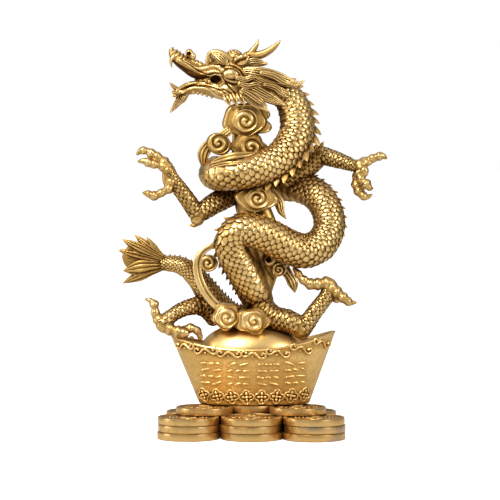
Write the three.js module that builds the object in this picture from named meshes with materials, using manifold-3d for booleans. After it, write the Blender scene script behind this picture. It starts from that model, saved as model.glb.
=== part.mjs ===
// A cast brass table ornament: a dragon wound round a column of clouds, standing on a boat shaped
// ingot, which stands on stacks of square holed coins. Millimetres, +Z up, +X to the right and
// -Y to the front. The origin is on the surface the ornament stands on, under the ingot's middle.

import * as THREE from "three";
import { mergeVertices } from "three/addons/utils/BufferGeometryUtils.js";
import Module from "manifold-3d";

const wasm = await Module();
wasm.setup();

// Coins
const COIN = { radius: 20.2, thick: 4.9, rim: 2.4, sunk: 0.6, hole: 6.4, pit: 1.3, sides: 12 };
// How far a cutting tool stands out of the face that it opens
const TOOL_CLEAR = 2;
const BOWL_SIDES = 10;
const STACK_LAYERS = [0, 1, 2];
// How far each coin of a stack slips, and how that runs from layer to layer and stack to stack
const SLIP = { x: 0.5, y: 0.2, layer: 3, stack: 2 };
const FOOT_FLARE = 0.6;
const STACKS = [[-41, -35], [0, -36.5], [41.5, -38], [-36.5, 1], [36.5, 1], [-20, 28], [20, 28]];
const TOP_COIN = { radius: 18.8, sink: 1, places: [[-31, -18.5], [31, -18.5], [0, 20], [0, 0]] };
const STACK_TOP = STACK_LAYERS.length * COIN.thick;
const COINS_TOP = STACK_TOP + COIN.thick;
// Stacks and top coins whose faces stay in sight
const OPEN_STACKS = 5;
const OPEN_TOPS = 3;
// Metal between the stacks, out of sight
const CORE = { radius: 29, sides: 8 };
const WEB = { radius: 7, x: 20.5, y: -32.5, low: 1.2 };

// Ingot
const SEAT_GAP = 0.3;
const INGOT = {
  foot: COINS_TOP + SEAT_GAP,
  footX: 37,
  footY: 17,
  topX: 55.4,
  topY: 27,
  middleX: 1.4,
  rimLow: 57.9,
  rimRise: 9.3,
  tilt: 0.024,
  wall: 2.4,
  wallLean: 2,
  deck: 3.4,
  bulge: 1.25,
  footShift: 0.8,
  sides: 24,
};
// Levels of the ingot's wall: share of the height, and how far it draws in
const INGOT_LEVELS = [[0, 1.2], [0.06, 0], [0.5, 0], [1, 0]];
const DOME = { x: 1.3, z: 54, halfX: 36, halfY: 22, halfZ: 20.5, around: 16, down: 8 };
const SCROLL = { count: 7, spread: 0.88 * Math.PI, share: 0.91, high: 0.035, ridge: 0.9,
  stations: [0.06, 0.35, 0.65, 0.94] };

// Dragon's body: place of the middle, radius, and the way the spines point
const BODY = [
  [7.4, 2, 231.3, 8.5, 0.3, 0, 1],
  [18.8, 0, 229.2, 9.2, 0.6, 0, 0.8],
  [26.1, -1, 222.5, 10, 0.9, -0.1, 0.4],
  [29.8, -2, 213.1, 10.8, 1, -0.25, 0],
  [30.7, -4, 203, 11.3, 1, -0.5, -0.1],
  [27.7, -7, 193.7, 11.6, 0.85, -0.75, -0.5],
  [21.3, -10, 185.7, 11.2, 0.55, -0.7, -0.8],
  [11.3, -13, 179.7, 10.9, 0.25, -0.4, -1],
  [-0.7, -15, 176, 10.8, 0.1, 0.1, -1],
  [-13.3, -13, 174.4, 10.8, 0.1, 0.45, -0.85],
  [-21.4, -5, 174, 10.7, 0.5, 0.5, -0.75],
  [-23.9, 5, 174.3, 10.5, 0.6, 0.2, -0.7],
  [-20.3, 16, 173.2, 10.3, 0.2, 0.8, -0.5],
  [-10.2, 24, 170.7, 10.2, -0.2, 1, 0],
  [3.4, 26, 168, 10, 0, 1, 0.2],
  [18.3, 22, 166.3, 10, 0.2, 0.8, 0.5],
  [32.4, 13, 164.7, 10.1, 0.4, 0.3, 0.9],
  [44.4, 6, 158.8, 10.2, 0.8, 0, 0.6],
  [51, 1, 148.1, 10.1, 1, -0.1, 0.2],
  [51.9, -2, 137.5, 10.2, 1, -0.3, -0.1],
  [47.1, -6, 127.6, 10.6, 0.5, -0.8, -0.3],
  [37.3, -10, 122.7, 10.9, -0.1, -0.9, 0.2],
  [25.9, -13, 124.9, 11.2, 0, -0.6, 0.8],
  [14.6, -15, 130.6, 11.3, 0.1, -0.4, 1],
  [4, -16, 135.2, 11.1, 0, -0.3, 1],
  [-5.3, -16, 136.2, 10.9, -0.4, -0.2, 1],
  [-11.6, -15, 131.2, 10.8, -1, -0.1, 0.4],
  [-12.3, -13, 123.2, 10.6, -1, 0, 0],
  [-8.7, -11, 115.1, 10.5, -0.9, 0, -0.4],
  [-3.7, -9, 106.4, 10.6, -0.8, 0.1, -0.5],
  [1, -6, 97.6, 10.5, -0.8, 0.2, -0.4],
  [4.7, 0, 88.5, 10, -0.9, 0.3, -0.1],
  [4, 8, 79.3, 9.6, -0.7, -0.2, 0.6],
  [-3.4, 15, 74.1, 9.3, -0.1, -0.2, 1],
  [-13.5, 16, 76.7, 9, 0.2, 0, 1],
  [-22.6, 10, 84.6, 8.6, 0.6, 0, 0.8],
  [-29.9, 6, 94.2, 7.8, 0.7, 0, 0.6],
  [-36.2, 3, 103.1, 6.7, 0.6, 0, 0.7],
  [-45.6, 1, 111.3, 5.7, 0.3, 0, 1],
  [-55.6, 0, 113.6, 4.9, 0, 0, 1],
  [-63, 0, 113, 4.3, 0, 0, 1],
];
const SPINE_HEIGHT = 2.1;
const SPINE_LEAN = 0.6;
// Height of the crest between two spines, as a share of theirs
const SPINE_FOOT = 0.15;
const BODY_SIDES = 7;
const BODY_STEPS = 3;

// Limbs and digits: place of the middle and radius
const LIMBS = {
  foreLeftUpper: [[-8.8, 14, 162.7, 8], [-16.8, 8, 158.1, 7], [-26.2, 2, 152.8, 6.4],
    [-35.8, -2.4, 146, 5.2]],
  foreLeftLower: [[-36.1, -2, 146.9, 5.2], [-40.8, -3.5, 154.3, 5], [-47.4, -5, 163.6, 4.6],
    [-52.7, -6.5, 171.7, 3.8], [-56, -7, 179, 3.8]],
  foreRightUpper: [[23.6, 12, 166.8, 8], [33, 10, 174.2, 7], [41.1, 9, 181, 6.4], [47.8, 8, 187, 5.6]],
  foreRightLower: [[46.5, 8, 186.4, 5.6], [53.8, 6, 184.3, 5.2], [61.8, 3, 181.7, 4.4],
    [69.1, 1, 179.3, 3.6], [73.7, 0, 179, 4.2]],
  hindRightUpper: [[4.7, -4, 85.4, 9], [14, -8, 78.3, 7.6], [24.6, -11, 75.9, 7], [33.9, -12, 71.3, 6.4]],
  hindRightLower: [[33.2, -12, 69.3, 6], [38.6, -11, 76.5, 5.2], [44.6, -10, 84.5, 4.8], [50, -9, 91.7, 4.6],
    [52.6, -9, 97.7, 4.8]],
  hindLeftUpper: [[-21.6, 10, 77.8, 8.5], [-30.6, 5, 84.9, 7], [-37.5, 1, 85.1, 5.6]],
  hindLeftLower: [[-35.2, 1, 85.8, 5.4], [-44.8, -3, 83.4, 4.6], [-52.1, -6, 79.5, 4.3], [-57.3, -8, 75, 5],
    [-58.7, -8, 72.3, 4.6]],
};
const DIGITS = {
  foreLeft: [
    [[-58, -7, 181.7, 3.2], [-60.7, -7, 184.3, 2.6], [-64.7, -7, 186.3, 2.8], [-69.4, -7, 189, 2.4],
      [-73.4, -7, 189, 2.3], [-76.3, -7, 186.3, 0.7]],
    [[-58, -8, 178.3, 3], [-62, -9, 179.7, 2.5], [-66.9, -9.5, 180.7, 2.7], [-71.2, -10, 182.3, 2.3],
      [-75.7, -10, 181.9, 0.6]],
    [[-53.3, -8, 168.3, 3.2], [-54.6, -8.5, 164.3, 3], [-59.3, -9, 161.3, 2.6], [-64.6, -9, 159.3, 2.8],
      [-69, -9, 160.7, 2.2], [-72.6, -9, 161.3, 0.6]],
  ],
  foreRight: [
    [[74.4, 0, 181, 3], [78.4, 0, 183, 2.6], [83.7, -0.5, 184.7, 2.5], [88, -1, 185.7, 2.3],
      [91.1, -1, 183.7, 0.7]],
    [[73.6, -3, 177.6, 2.6], [76.1, -5, 175.7, 2.4], [76.8, -6, 173.7, 1]],
    [[72.4, 0, 177, 3], [70.7, 1, 171.6, 2.8], [71.1, 1.5, 165.6, 3.2], [74, 0, 160.2, 3],
      [77.6, -1.5, 158.2, 2], [81.3, -2, 160.2, 0.7]],
    [[71.6, -3, 175, 2.6], [73.5, -5, 170.3, 2.6], [76.8, -6, 167, 3], [79.4, -6.5, 164.3, 2.2],
      [81.6, -6.5, 163.9, 0.6]],
  ],
  hindRight: [
    [[51.9, -10, 100.4, 4.6], [45.9, -11, 100.5, 3.8], [39.9, -11, 100.5, 3.4], [34.3, -11, 103.8, 2.8],
      [30.6, -10.5, 108.5, 2.2], [28.3, -10, 111.1, 1.4]],
    [[53.3, -10, 97.8, 4.6], [58.6, -11, 93.8, 3.6], [63.2, -12, 89.9, 3], [66.5, -12, 88.2, 2.2],
      [70.5, -12, 88.2, 0.7]],
    [[53.4, -6, 94.2, 3], [56.8, -4, 90.1, 2.4], [58.2, -3, 87.4, 1]],
  ],
  hindLeft: [
    [[-60.7, -8, 75.7, 4], [-63.6, -8.5, 79.7, 3.2], [-64, -9, 83.4, 2.5], [-64.6, -9, 86.4, 2.7],
      [-67.3, -9, 89.4, 1.8], [-71, -9, 90.2, 0.6]],
    [[-57.3, -9, 71.7, 4.2], [-51.9, -10.5, 69.4, 3.6], [-46.6, -11.5, 68.2, 3.4], [-41.9, -12, 67.4, 2.6]],
    [[-45.3, -8, 69, 3], [-40, -8, 70.7, 2.6], [-36, -8, 69, 2.3], [-33.3, -8, 63, 1.8]],
  ],
};

// Head: place of the middle, half height, half width. The head is the same on both sides of y = 0
const SKULL = [
  [-52.3, 0, 256, 1.8, 2.6],
  [-49.6, 0, 252, 4.4, 4.8],
  [-43.6, 0, 246.6, 5.8, 6],
  [-36.9, 0, 242.6, 6.2, 7],
  [-30.2, 0, 241.3, 5.8, 8.4],
  [-22.8, 0, 243.3, 7.4, 10.5],
  [-15.4, 0, 242, 10.4, 12.5],
  [-7.4, 0, 239.3, 12.6, 13.4],
  [0.7, 0, 235.3, 11, 12],
  [7.4, 0, 231.2, 9.4, 9.6],
];
const JAW = [
  [-6.7, 0, 230.9, 6.4, 10.4],
  [-18.8, 0, 228.9, 5.9, 10],
  [-27.5, 0, 230.6, 5, 8.4],
  [-35.5, 0, 230.9, 3.9, 7],
  [-43.6, 0, 229.2, 3.4, 6],
  [-49.6, 0, 227.9, 2.4, 4.6],
  [-53.2, 0, 228.8, 0.8, 3],
];
const HORN = [[-7.4, 5.4, 248.6, 2.8], [0.7, 7.2, 253, 2.6], [6.7, 8.2, 253.3, 2.4], [13.4, 9.2, 256.7, 1.9],
  [19.6, 10, 262.3, 0.6]];
const LOCK_THICK = 0.55;
const HEAD_SIDES = 8;
const HORN_TINE = [[-0.3, 7, 252.6, 2.2], [3.4, 7.8, 258, 1.7], [4.9, 8.2, 263.4, 0.5]];
const LOCKS = [
  [[-3, 10, 243.6, 3], [12.7, 10.5, 240.3, 4.4], [24.8, 9.5, 237.6, 3], [35.8, 7.5, 235.4, 0.5]],
  [[-3, 11.4, 239.6, 3], [11.4, 13, 233.9, 4.2], [20, 12.5, 231.3, 2.6], [25.4, 11, 229.6, 0.5]],
  [[-3, 12, 232.9, 3], [11.4, 13.5, 226.5, 4], [18, 13, 223, 2.6], [23.6, 12, 219.8, 0.5]],
  [[-6, 8, 229, 3], [2.4, 10, 220.6, 3.2], [8.6, 10, 217.4, 2.2], [12.8, 9.4, 215.2, 0.5]],
];
const BEARD = [[-44.6, 0, 228.4, 3.2], [-47, 0, 223.6, 3], [-50, 0, 219.4, 2], [-54.4, 0, 214.4, 0.5]];
const CHIN_SPIKE = [[-47, 3, 229.4, 1.8], [-51, 3.4, 231, 1.4], [-55, 3.6, 235.1, 0.4]];
const FANG = [[-51.2, 3.4, 252.4, 1.5], [-53.4, 3.6, 248.6, 1], [-52.7, 3.6, 244.6, 0.3]];
const EAR = [[-10.4, 9, 245, 2], [-7.8, 12.6, 250.6, 3], [-3.2, 13.6, 252, 0.6]];
const BROW = [[-29.6, 5.4, 247.6, 2], [-27.6, 6.4, 253.2, 2.2], [-22.4, 7, 253, 2.9], [-14.4, 8, 249, 2]];
const HEAD_BALLS = [
  { at: [-41.4, 3.4, 253.4], half: [3.2, 2.6, 3.6] },
  { at: [-12.7, 12.2, 239.8], half: [5.4, 3.4, 4] },
];
const FOREHEAD = { at: [-11.4, 0, 252], half: [5, 6.4, 4.4] };
const MOUTH_CORNER = { at: [-23.8, 236.2], radius: 2.7, depth: 3.6, y: 10.6 };

// Tail fan: the tips of its lobes [x, z], seen from the front, and how far in the notches reach
const TAIL_ROOT = [-60, 113.4];
const TAIL_NECK = [[-59.4, 118.6], [-59.4, 109.4]];
const TAIL_TIPS = [[-70.1, 131.9], [-78.6, 133.1], [-86.6, 129.9], [-89.2, 122.6], [-85.6, 108.8],
  [-86, 100.4]];
const TAIL_NOTCH = 0.78;
// Levels of the fan, [y, share of the outline], and its middle, which stands out furthest
const TAIL_LEVELS = [[-2.9, 0.5], [-0.7, 1], [0.7, 1], [2.9, 0.5]];
const TAIL_MIDDLE = { tip: 2, share: 0.25, out: 1.15 };

// Clouds: discs with a rolled edge, seen from the front. y is the front and the rear, turn says
// where the lobes start, and a spiral of that reach stands on the front, wound one way or the other
const CLOUDS = [
  { at: [-4.4, 209.6], half: [14.4, 11.6], y: [-6.6, 7], lobes: 3, wave: 0.05, turn: 1.2, spiral: 7.6,
    way: 1 },
  { at: [8, 213], half: [4.6, 4.4], y: [-4, 5], lobes: 2, wave: 0.05, turn: 0 },
  { at: [8.2, 204.6], half: [4.6, 4.2], y: [-4, 5], lobes: 2, wave: 0.05, turn: 0 },
  { at: [-22, 193], half: [9.4, 8.4], y: [-13, -3], lobes: 2, wave: 0.12, turn: 1.2, spiral: 5, way: -1 },
  { at: [-2, 191.4], half: [12, 8.4], y: [-9, 5], lobes: 5, wave: 0.06, turn: 0.3 },
  { at: [4, 157.8], half: [12.2, 8.8], y: [-13, -1], lobes: 3, wave: 0.06, turn: 0.9, spiral: 6.6, way: 1 },
  { at: [16.6, 114.2], half: [7.8, 9.6], y: [-3, 10], lobes: 3, wave: 0.06, turn: 0.2 },
  { at: [-16.3, 79.4], half: [9.4, 9.2], y: [-19, -7], lobes: 3, wave: 0.05, turn: 2, spiral: 6.4, way: 1 },
  { at: [1.3, 76.6], half: [11.6, 8.4], y: [-20, -7], lobes: 3, wave: 0.09, turn: 0, spiral: 6.2, way: -1 },
];
const CLOUD_DOME = 1.6;
// The rolled edge of a cloud: how far in the front and the rear draw, and its depth
const CLOUD_EDGE = { front: 0.84, rear: 0.94, deep: 2 };
const CLOUD_SIDES = 10;
// The ridge of a cloud's spiral: it stands out by a share of the dome, and stays round on a long cloud
const SPIRAL = { turns: 1.25, wind: 0.82, ridge: 1.6, stations: 6, out: 0.4, round: 1.15 };
const TRUNK_THICK = 0.72;
const TRUNK = [[-3.4, 1, 212, 8], [-3.4, 2, 199.8, 9.4], [-3.4, 4, 183, 9.6], [-2.7, 4, 166.2, 9],
  [0.7, 4, 152.8, 12.6], [7.4, 3, 138, 12], [9, 6, 124, 12], [9, 8, 108, 9.6], [7, 7, 94, 7],
  [-0.7, 2, 72, 9]];
const STRIP = [[-22.6, -7, 124.6, 2.4], [-31.3, -8, 121.7, 2.6], [-35.3, -8, 116.3, 2.8],
  [-35, -8, 107.7, 3], [-32, -9, 98.4, 3], [-26.6, -11, 90.5, 3], [-20.3, -12, 84.3, 3]];
const STRIP_CURL = { at: [-27.4, -8, 114.6], half: [8.4, 3, 4.6] };
const PENDANTS = [
  [[13, 3, 160, 4], [18.6, 1, 154, 3.6], [20.4, 0, 148, 2.6], [23.6, 0, 143.6, 0.5]],
  [[19, 5, 114, 5], [25.4, 4, 105, 3.2], [29, 4, 98, 4], [29.6, 4, 93.4, 0.6]],
  [[10, -6, 87, 2.8], [13, -9, 84.6, 2.6], [17, -10, 82.4, 1]],
];

// Cast brass
const brass = (name, color) => {
  return new THREE.MeshStandardMaterial({ name, color, roughness: 0.34, metalness: 0.95 });
};

// How far a rounded end stands out, as a share of its radius
const ROUND_END = 0.5;

// A closed three.js geometry as a solid that can be joined and cut
function solid(geometry) {
  const bare = new THREE.BufferGeometry();
  bare.setAttribute("position", geometry.getAttribute("position"));
  if (geometry.index) bare.setIndex(geometry.index);
  const merged = mergeVertices(bare, 1e-4);
  const vertProperties = new Float32Array(merged.attributes.position.array);
  const triVerts = new Uint32Array(merged.index.array);
  return new wasm.Manifold(new wasm.Mesh({ numProp: 3, vertProperties, triVerts }));
}

function geometryOf(made) {
  const { vertProperties, triVerts } = made.getMesh();
  const geometry = new THREE.BufferGeometry();
  geometry.setAttribute("position", new THREE.BufferAttribute(vertProperties, 3));
  geometry.setIndex(new THREE.BufferAttribute(triVerts, 1));
  return geometry.toNonIndexed();
}

const join = (solids) => solids.reduce((whole, next) => whole.add(next));
const cut = (whole, tools) => tools.reduce((left, tool) => left.subtract(tool), whole);

// Rings of equal length, joined by faces and closed by a point at each end
function skin(rings, first, last) {
  const sides = rings[0].length;
  const places = [first, ...rings.flat(), last];
  const faces = [];
  rings.forEach((ring, i) => {
    for (let k = 0; k < sides; k++) {
      const a = 1 + i * sides + k;
      const b = 1 + i * sides + ((k + 1) % sides);
      if (i === 0) faces.push(0, b, a);
      if (i < rings.length - 1) faces.push(a, b, b + sides, a, b + sides, a + sides);
      else faces.push(places.length - 1, a, b);
    }
  });
  const geometry = new THREE.BufferGeometry().setFromPoints(places);
  geometry.setIndex(faces);
  return solid(geometry);
}

// A tube along a smooth curve through the stations [x, y, z, radius, up x, up y, up z], where up is
// the front unless it is given. thick flattens it along up, and crest raises every other up corner.
function sweep(stations, { sides = 6, steps = 1, thick = 1, crest = 0 } = {}) {
  const places = stations.map(([x, y, z]) => new THREE.Vector3(x, y, z));
  const route = new THREE.CatmullRomCurve3(places, false, "centripetal");
  const spans = stations.length - 1;
  const count = spans * steps;
  const rings = [];
  const middles = [];
  const tangents = [];
  const radii = [];
  for (let i = 0; i <= count; i++) {
    const from = stations[Math.min(Math.floor(i / steps), spans)];
    const to = stations[Math.min(Math.floor(i / steps) + 1, spans)];
    const part = (i % steps) / steps;
    const mix = (n, fallback) => THREE.MathUtils.lerp(from[n] ?? fallback, to[n] ?? fallback, part);
    const middle = route.getPoint(i / count);
    const tangent = route.getTangent(i / count);
    const back = new THREE.Vector3(mix(4, 0), mix(5, -1), mix(6, 0));
    back.addScaledVector(tangent, -back.dot(tangent)).normalize();
    const side = new THREE.Vector3().crossVectors(tangent, back);
    const radius = mix(3);
    const ring = [];
    for (let k = 0; k < sides; k++) {
      const turn = (2 * Math.PI * k) / sides;
      const spine = k === 0 ? crest * (i % 2 ? 1 : SPINE_FOOT) * Math.sqrt(radius / stations[0][3]) : 0;
      const place = middle.clone();
      place.addScaledVector(back, Math.cos(turn) * radius * thick + spine);
      place.addScaledVector(side, Math.sin(turn) * radius);
      place.addScaledVector(tangent, spine * SPINE_LEAN);
      ring.push(place);
    }
    rings.push(ring);
    middles.push(middle);
    tangents.push(tangent);
    radii.push(radius);
  }
  const first = middles[0].clone().addScaledVector(tangents[0], -radii[0] * ROUND_END);
  const last = middles[count].clone().addScaledVector(tangents[count], radii[count] * ROUND_END);
  return skin(rings, first, last);
}

const mirrored = (stations) => stations.map(([x, y, ...rest]) => [x, -y, ...rest]);
const bothSides = (stations, options) => [sweep(stations, options), sweep(mirrored(stations), options)];

function ball([x, y, z], [halfX, halfY, halfZ], around = 6, down = 4) {
  const geometry = new THREE.SphereGeometry(1, around, down);
  geometry.rotateX(Math.PI / 2).scale(halfX, halfY, halfZ).translate(x, y, z);
  return solid(geometry);
}

// A disc lying flat, from low to high
function disc(radius, low, high, sides) {
  const geometry = new THREE.CylinderGeometry(radius, radius, high - low, sides);
  return geometry.rotateX(Math.PI / 2).translate(0, 0, (low + high) / 2);
}

// Coins, with a raised rim and a square hole in each face that shows
function coin(radius, x, y, low, high) {
  return solid(disc(radius, low, high, COIN.sides).translate(x, y, 0));
}

function coinFace(radius, x, y, top) {
  const bowl = disc(radius - COIN.rim, top - COIN.sunk, top + TOOL_CLEAR, BOWL_SIDES).translate(x, y, 0);
  const pit = new THREE.BoxGeometry(COIN.hole, COIN.hole, 2 * COIN.pit).translate(x, y, top - COIN.sunk);
  return [solid(bowl), solid(pit)];
}

function coinBase() {
  const coins = STACKS.flatMap(([x, y], stack) => STACK_LAYERS.map((layer) => {
    const slip = Math.sin(SLIP.layer * layer + SLIP.stack * stack);
    const wide = COIN.radius + (layer === 0 ? FOOT_FLARE : 0);
    const low = layer * COIN.thick;
    return coin(wide, x + SLIP.x * slip, y + SLIP.y * slip, low, low + COIN.thick);
  }));
  const core = solid(disc(CORE.radius, 0, STACK_TOP, CORE.sides));
  const webs = [-1, 1].map((side) => coin(WEB.radius, side * WEB.x, WEB.y, 0, STACK_TOP - WEB.low));
  const open = STACKS.slice(0, OPEN_STACKS);
  const faces = open.flatMap(([x, y]) => coinFace(COIN.radius, x, y, STACK_TOP));
  const stacks = cut(join([...coins, core, ...webs]), faces);
  const { radius, sink, places } = TOP_COIN;
  const caps = places.map(([x, y]) => coin(radius, x, y, STACK_TOP - sink, COINS_TOP));
  const capFaces = places.slice(0, OPEN_TOPS).flatMap(([x, y]) => coinFace(radius, x, y, COINS_TOP));
  return cut(join([stacks, ...caps]), capFaces);
}

// Height of the ingot's rim over the place x
const rimAt = (x) => {
  const out = (x - INGOT.middleX) / INGOT.topX;
  return INGOT.rimLow + INGOT.rimRise * out ** 2 + INGOT.tilt * x;
};

// One level of the ingot: share 0 at the foot and 1 at the rim, drawn in by inset
function ingotRing(share, inset, drop) {
  const halfX = THREE.MathUtils.lerp(INGOT.footX, INGOT.topX, share) - inset;
  const halfY = THREE.MathUtils.lerp(INGOT.footY, INGOT.topY, share ** INGOT.bulge) - inset;
  const ring = [];
  for (let k = 0; k < INGOT.sides; k++) {
    const turn = (2 * Math.PI * k) / INGOT.sides;
    const x = INGOT.middleX + (1 - share) * INGOT.footShift + halfX * Math.cos(turn);
    const y = halfY * Math.sin(turn);
    const rim = rimAt(INGOT.middleX + INGOT.topX * Math.cos(turn));
    ring.push(new THREE.Vector3(x, y, THREE.MathUtils.lerp(INGOT.foot, rim, share) - drop));
  }
  return ring;
}

// The ingot's body with its sunk deck and its dome, swollen by grow on every side
function ingotBody(grow) {
  const rings = INGOT_LEVELS.map(([share, inset]) =>
    ingotRing(share, inset - grow, share === 1 ? -grow : grow));
  const middle = new THREE.Vector3(INGOT.middleX, 0, INGOT.foot - grow);
  const hull = skin(rings, middle, new THREE.Vector3(INGOT.middleX, 0, INGOT.rimLow + grow));
  const deck = ingotRing(1, INGOT.wall + INGOT.wallLean + grow, INGOT.deck - grow);
  const mouth = ingotRing(1, INGOT.wall + grow, -TOOL_CLEAR);
  const low = new THREE.Vector3(INGOT.middleX, 0, INGOT.rimLow - INGOT.deck + grow);
  const scoop = skin([deck, mouth], low, new THREE.Vector3(INGOT.middleX, 0, INGOT.rimLow + INGOT.rimRise));
  const half = [DOME.halfX + grow, DOME.halfY + grow, DOME.halfZ + grow];
  return hull.subtract(scoop).add(ball([DOME.x, 0, DOME.z], half, DOME.around, DOME.down));
}

// A place on the ingot's wall: turn round it, and share of the height
function onWall(turn, share) {
  const rim = rimAt(INGOT.middleX + INGOT.topX * Math.cos(turn));
  const halfX = THREE.MathUtils.lerp(INGOT.footX, INGOT.topX, share);
  const halfY = THREE.MathUtils.lerp(INGOT.footY, INGOT.topY, share ** INGOT.bulge);
  const x = INGOT.middleX + (1 - share) * INGOT.footShift + halfX * Math.cos(turn);
  return [x, halfY * Math.sin(turn), THREE.MathUtils.lerp(INGOT.foot, rim, share)];
}

// The lazy S scrolls under the rim
function ingotTrim() {
  const pieces = [];
  for (const face of [-1, 1]) {
    for (let n = 0; n < SCROLL.count; n++) {
      const pitch = SCROLL.spread / SCROLL.count;
      const start = face * (Math.PI / 2) + (n - SCROLL.count / 2) * pitch;
      const wave = SCROLL.stations.map((along) => {
        const rise = SCROLL.high * Math.cos(Math.PI * along) * -face;
        return [...onWall(start + along * pitch, SCROLL.share + rise), SCROLL.ridge];
      });
      pieces.push(sweep(wave, { sides: 3 }));
    }
  }
  return pieces;
}

// Outline of a cloud: a round with soft lobes
function cloudRing(cloud, scale, y) {
  const ring = [];
  for (let k = 0; k < CLOUD_SIDES; k++) {
    const turn = (2 * Math.PI * k) / CLOUD_SIDES;
    const swell = scale * (1 + cloud.wave * Math.cos(cloud.lobes * turn + cloud.turn));
    const x = cloud.at[0] + cloud.half[0] * swell * Math.cos(turn);
    ring.push(new THREE.Vector3(x, y, cloud.at[1] + cloud.half[1] * swell * Math.sin(turn)));
  }
  return ring;
}

function cloudSpiral(cloud) {
  const stations = [];
  for (let n = 0; n <= SPIRAL.stations; n++) {
    const share = n / SPIRAL.stations;
    const turn = cloud.turn + cloud.way * 2 * Math.PI * SPIRAL.turns * share;
    const reach = cloud.spiral * (1 - SPIRAL.wind * share);
    const squash = cloud.half[1] / cloud.half[0];
    stations.push([cloud.at[0] + reach * Math.cos(turn), cloud.y[0] - CLOUD_DOME * SPIRAL.out,
      cloud.at[1] + reach * Math.sin(turn) * Math.min(1, squash * SPIRAL.round), SPIRAL.ridge]);
  }
  return sweep(stations, { sides: 3 });
}

function cloudPiece(cloud) {
  const [front, rear] = cloud.y;
  const levels = [[CLOUD_EDGE.rear, rear], [1, front + CLOUD_EDGE.deep], [CLOUD_EDGE.front, front]];
  const rings = levels.map(([scale, y]) => cloudRing(cloud, scale, y));
  const [x, z] = cloud.at;
  const body = skin(rings, new THREE.Vector3(x, rear, z), new THREE.Vector3(x, front - CLOUD_DOME, z));
  return cloud.spiral ? [body, cloudSpiral(cloud)] : [body];
}

// Skull or jaw: oval rings along a smooth line in the plane y = 0
function loft(stations) {
  const route = new THREE.CatmullRomCurve3(stations.map(([x, y, z]) => new THREE.Vector3(x, y, z)));
  const across = new THREE.Vector3(0, 1, 0);
  const rings = stations.map(([, , , high, wide], i) => {
    const share = i / (stations.length - 1);
    const back = new THREE.Vector3().crossVectors(across, route.getTangent(share));
    const ring = [];
    for (let k = HEAD_SIDES - 1; k >= 0; k--) {
      const turn = (2 * Math.PI * (k + 0.5)) / HEAD_SIDES;
      const place = route.getPoint(share);
      place.addScaledVector(back, high * Math.cos(turn));
      ring.push(place.addScaledVector(across, -wide * Math.sin(turn)));
    }
    return ring;
  });
  return skin(rings, route.getPoint(0), route.getPoint(1));
}

function head() {
  const balls = HEAD_BALLS.flatMap(({ at: [x, y, z], half }) => {
    return [y, -y].map((side) => ball([x, side, z], half));
  });
  const pieces = [
    loft(SKULL),
    loft(JAW),
    ball(FOREHEAD.at, FOREHEAD.half),
    ...balls,
    ...bothSides(HORN, { sides: 5 }),
    ...LOCKS.flatMap((lock) => bothSides(lock, { sides: 4, thick: LOCK_THICK })),
    ...[HORN_TINE, CHIN_SPIKE, FANG, BROW].flatMap((stations) => bothSides(stations, { sides: 4 })),
    ...bothSides(EAR, { sides: 4, thick: LOCK_THICK }),
    sweep(BEARD, { sides: 6, thick: LOCK_THICK }),
  ];
  const { at: [cornerX, cornerZ], radius, depth, y: cornerY } = MOUTH_CORNER;
  const corners = [-cornerY, cornerY].map((side) => {
    const pit = new THREE.CylinderGeometry(radius, radius, 2 * depth, 6);
    return solid(pit.translate(cornerX, side, cornerZ));
  });
  return cut(join(pieces), corners);
}

// The tail fan: an outline of lobes and notches, thick in the middle and thin at the edge
function tailFan() {
  const [rootX, rootZ] = TAIL_ROOT;
  const toward = ([x, z], share) => [rootX + (x - rootX) * share, rootZ + (z - rootZ) * share];
  const outline = [TAIL_NECK[0]];
  TAIL_TIPS.forEach((tip, i) => {
    outline.push(tip);
    const next = TAIL_TIPS[i + 1];
    if (next) outline.push(toward([(tip[0] + next[0]) / 2, (tip[1] + next[1]) / 2], TAIL_NOTCH));
  });
  outline.push(TAIL_NECK[1]);
  const rings = TAIL_LEVELS.map(([y, scale]) => outline.map((place) => {
    const [x, z] = toward(place, scale);
    return new THREE.Vector3(x, y, z);
  }));
  const [x, z] = toward(TAIL_TIPS[TAIL_MIDDLE.tip], TAIL_MIDDLE.share);
  const cap = ([y]) => new THREE.Vector3(x, y * TAIL_MIDDLE.out, z);
  return skin(rings.reverse(), cap(TAIL_LEVELS.at(-1)), cap(TAIL_LEVELS[0]));
}

function dragon() {
  const body = sweep(BODY, { sides: BODY_SIDES, steps: BODY_STEPS, crest: SPINE_HEIGHT });
  const limbs = Object.values(LIMBS).map((limb) => sweep(limb));
  const digits = Object.values(DIGITS).flat().map((digit) => sweep(digit, { sides: 5 }));
  const column = [
    sweep(TRUNK, { thick: TRUNK_THICK }),
    sweep(STRIP, { sides: 5 }),
    ball(STRIP_CURL.at, STRIP_CURL.half),
    ...CLOUDS.flatMap(cloudPiece),
    ...PENDANTS.map((pendant) => sweep(pendant, { sides: 4 })),
  ];
  const whole = join([body, head(), ...limbs, ...digits, ...column, tailFan()]);
  return whole.subtract(ingotBody(SEAT_GAP));
}

function named(name, made, color) {
  const mesh = new THREE.Mesh(geometryOf(made), brass(name, color));
  mesh.name = name;
  return mesh;
}

const group = new THREE.Group();
group.add(named("dragon", dragon(), 0xc79a45));
group.add(named("ingot", join([ingotBody(0), ...ingotTrim()]), 0xcfa04a));
group.add(named("coin_base", coinBase(), 0xb98a3c));

export default group;
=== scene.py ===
import math

import bpy
import numpy as np
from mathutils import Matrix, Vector
from mathutils.bvhtree import BVHTree


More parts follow.
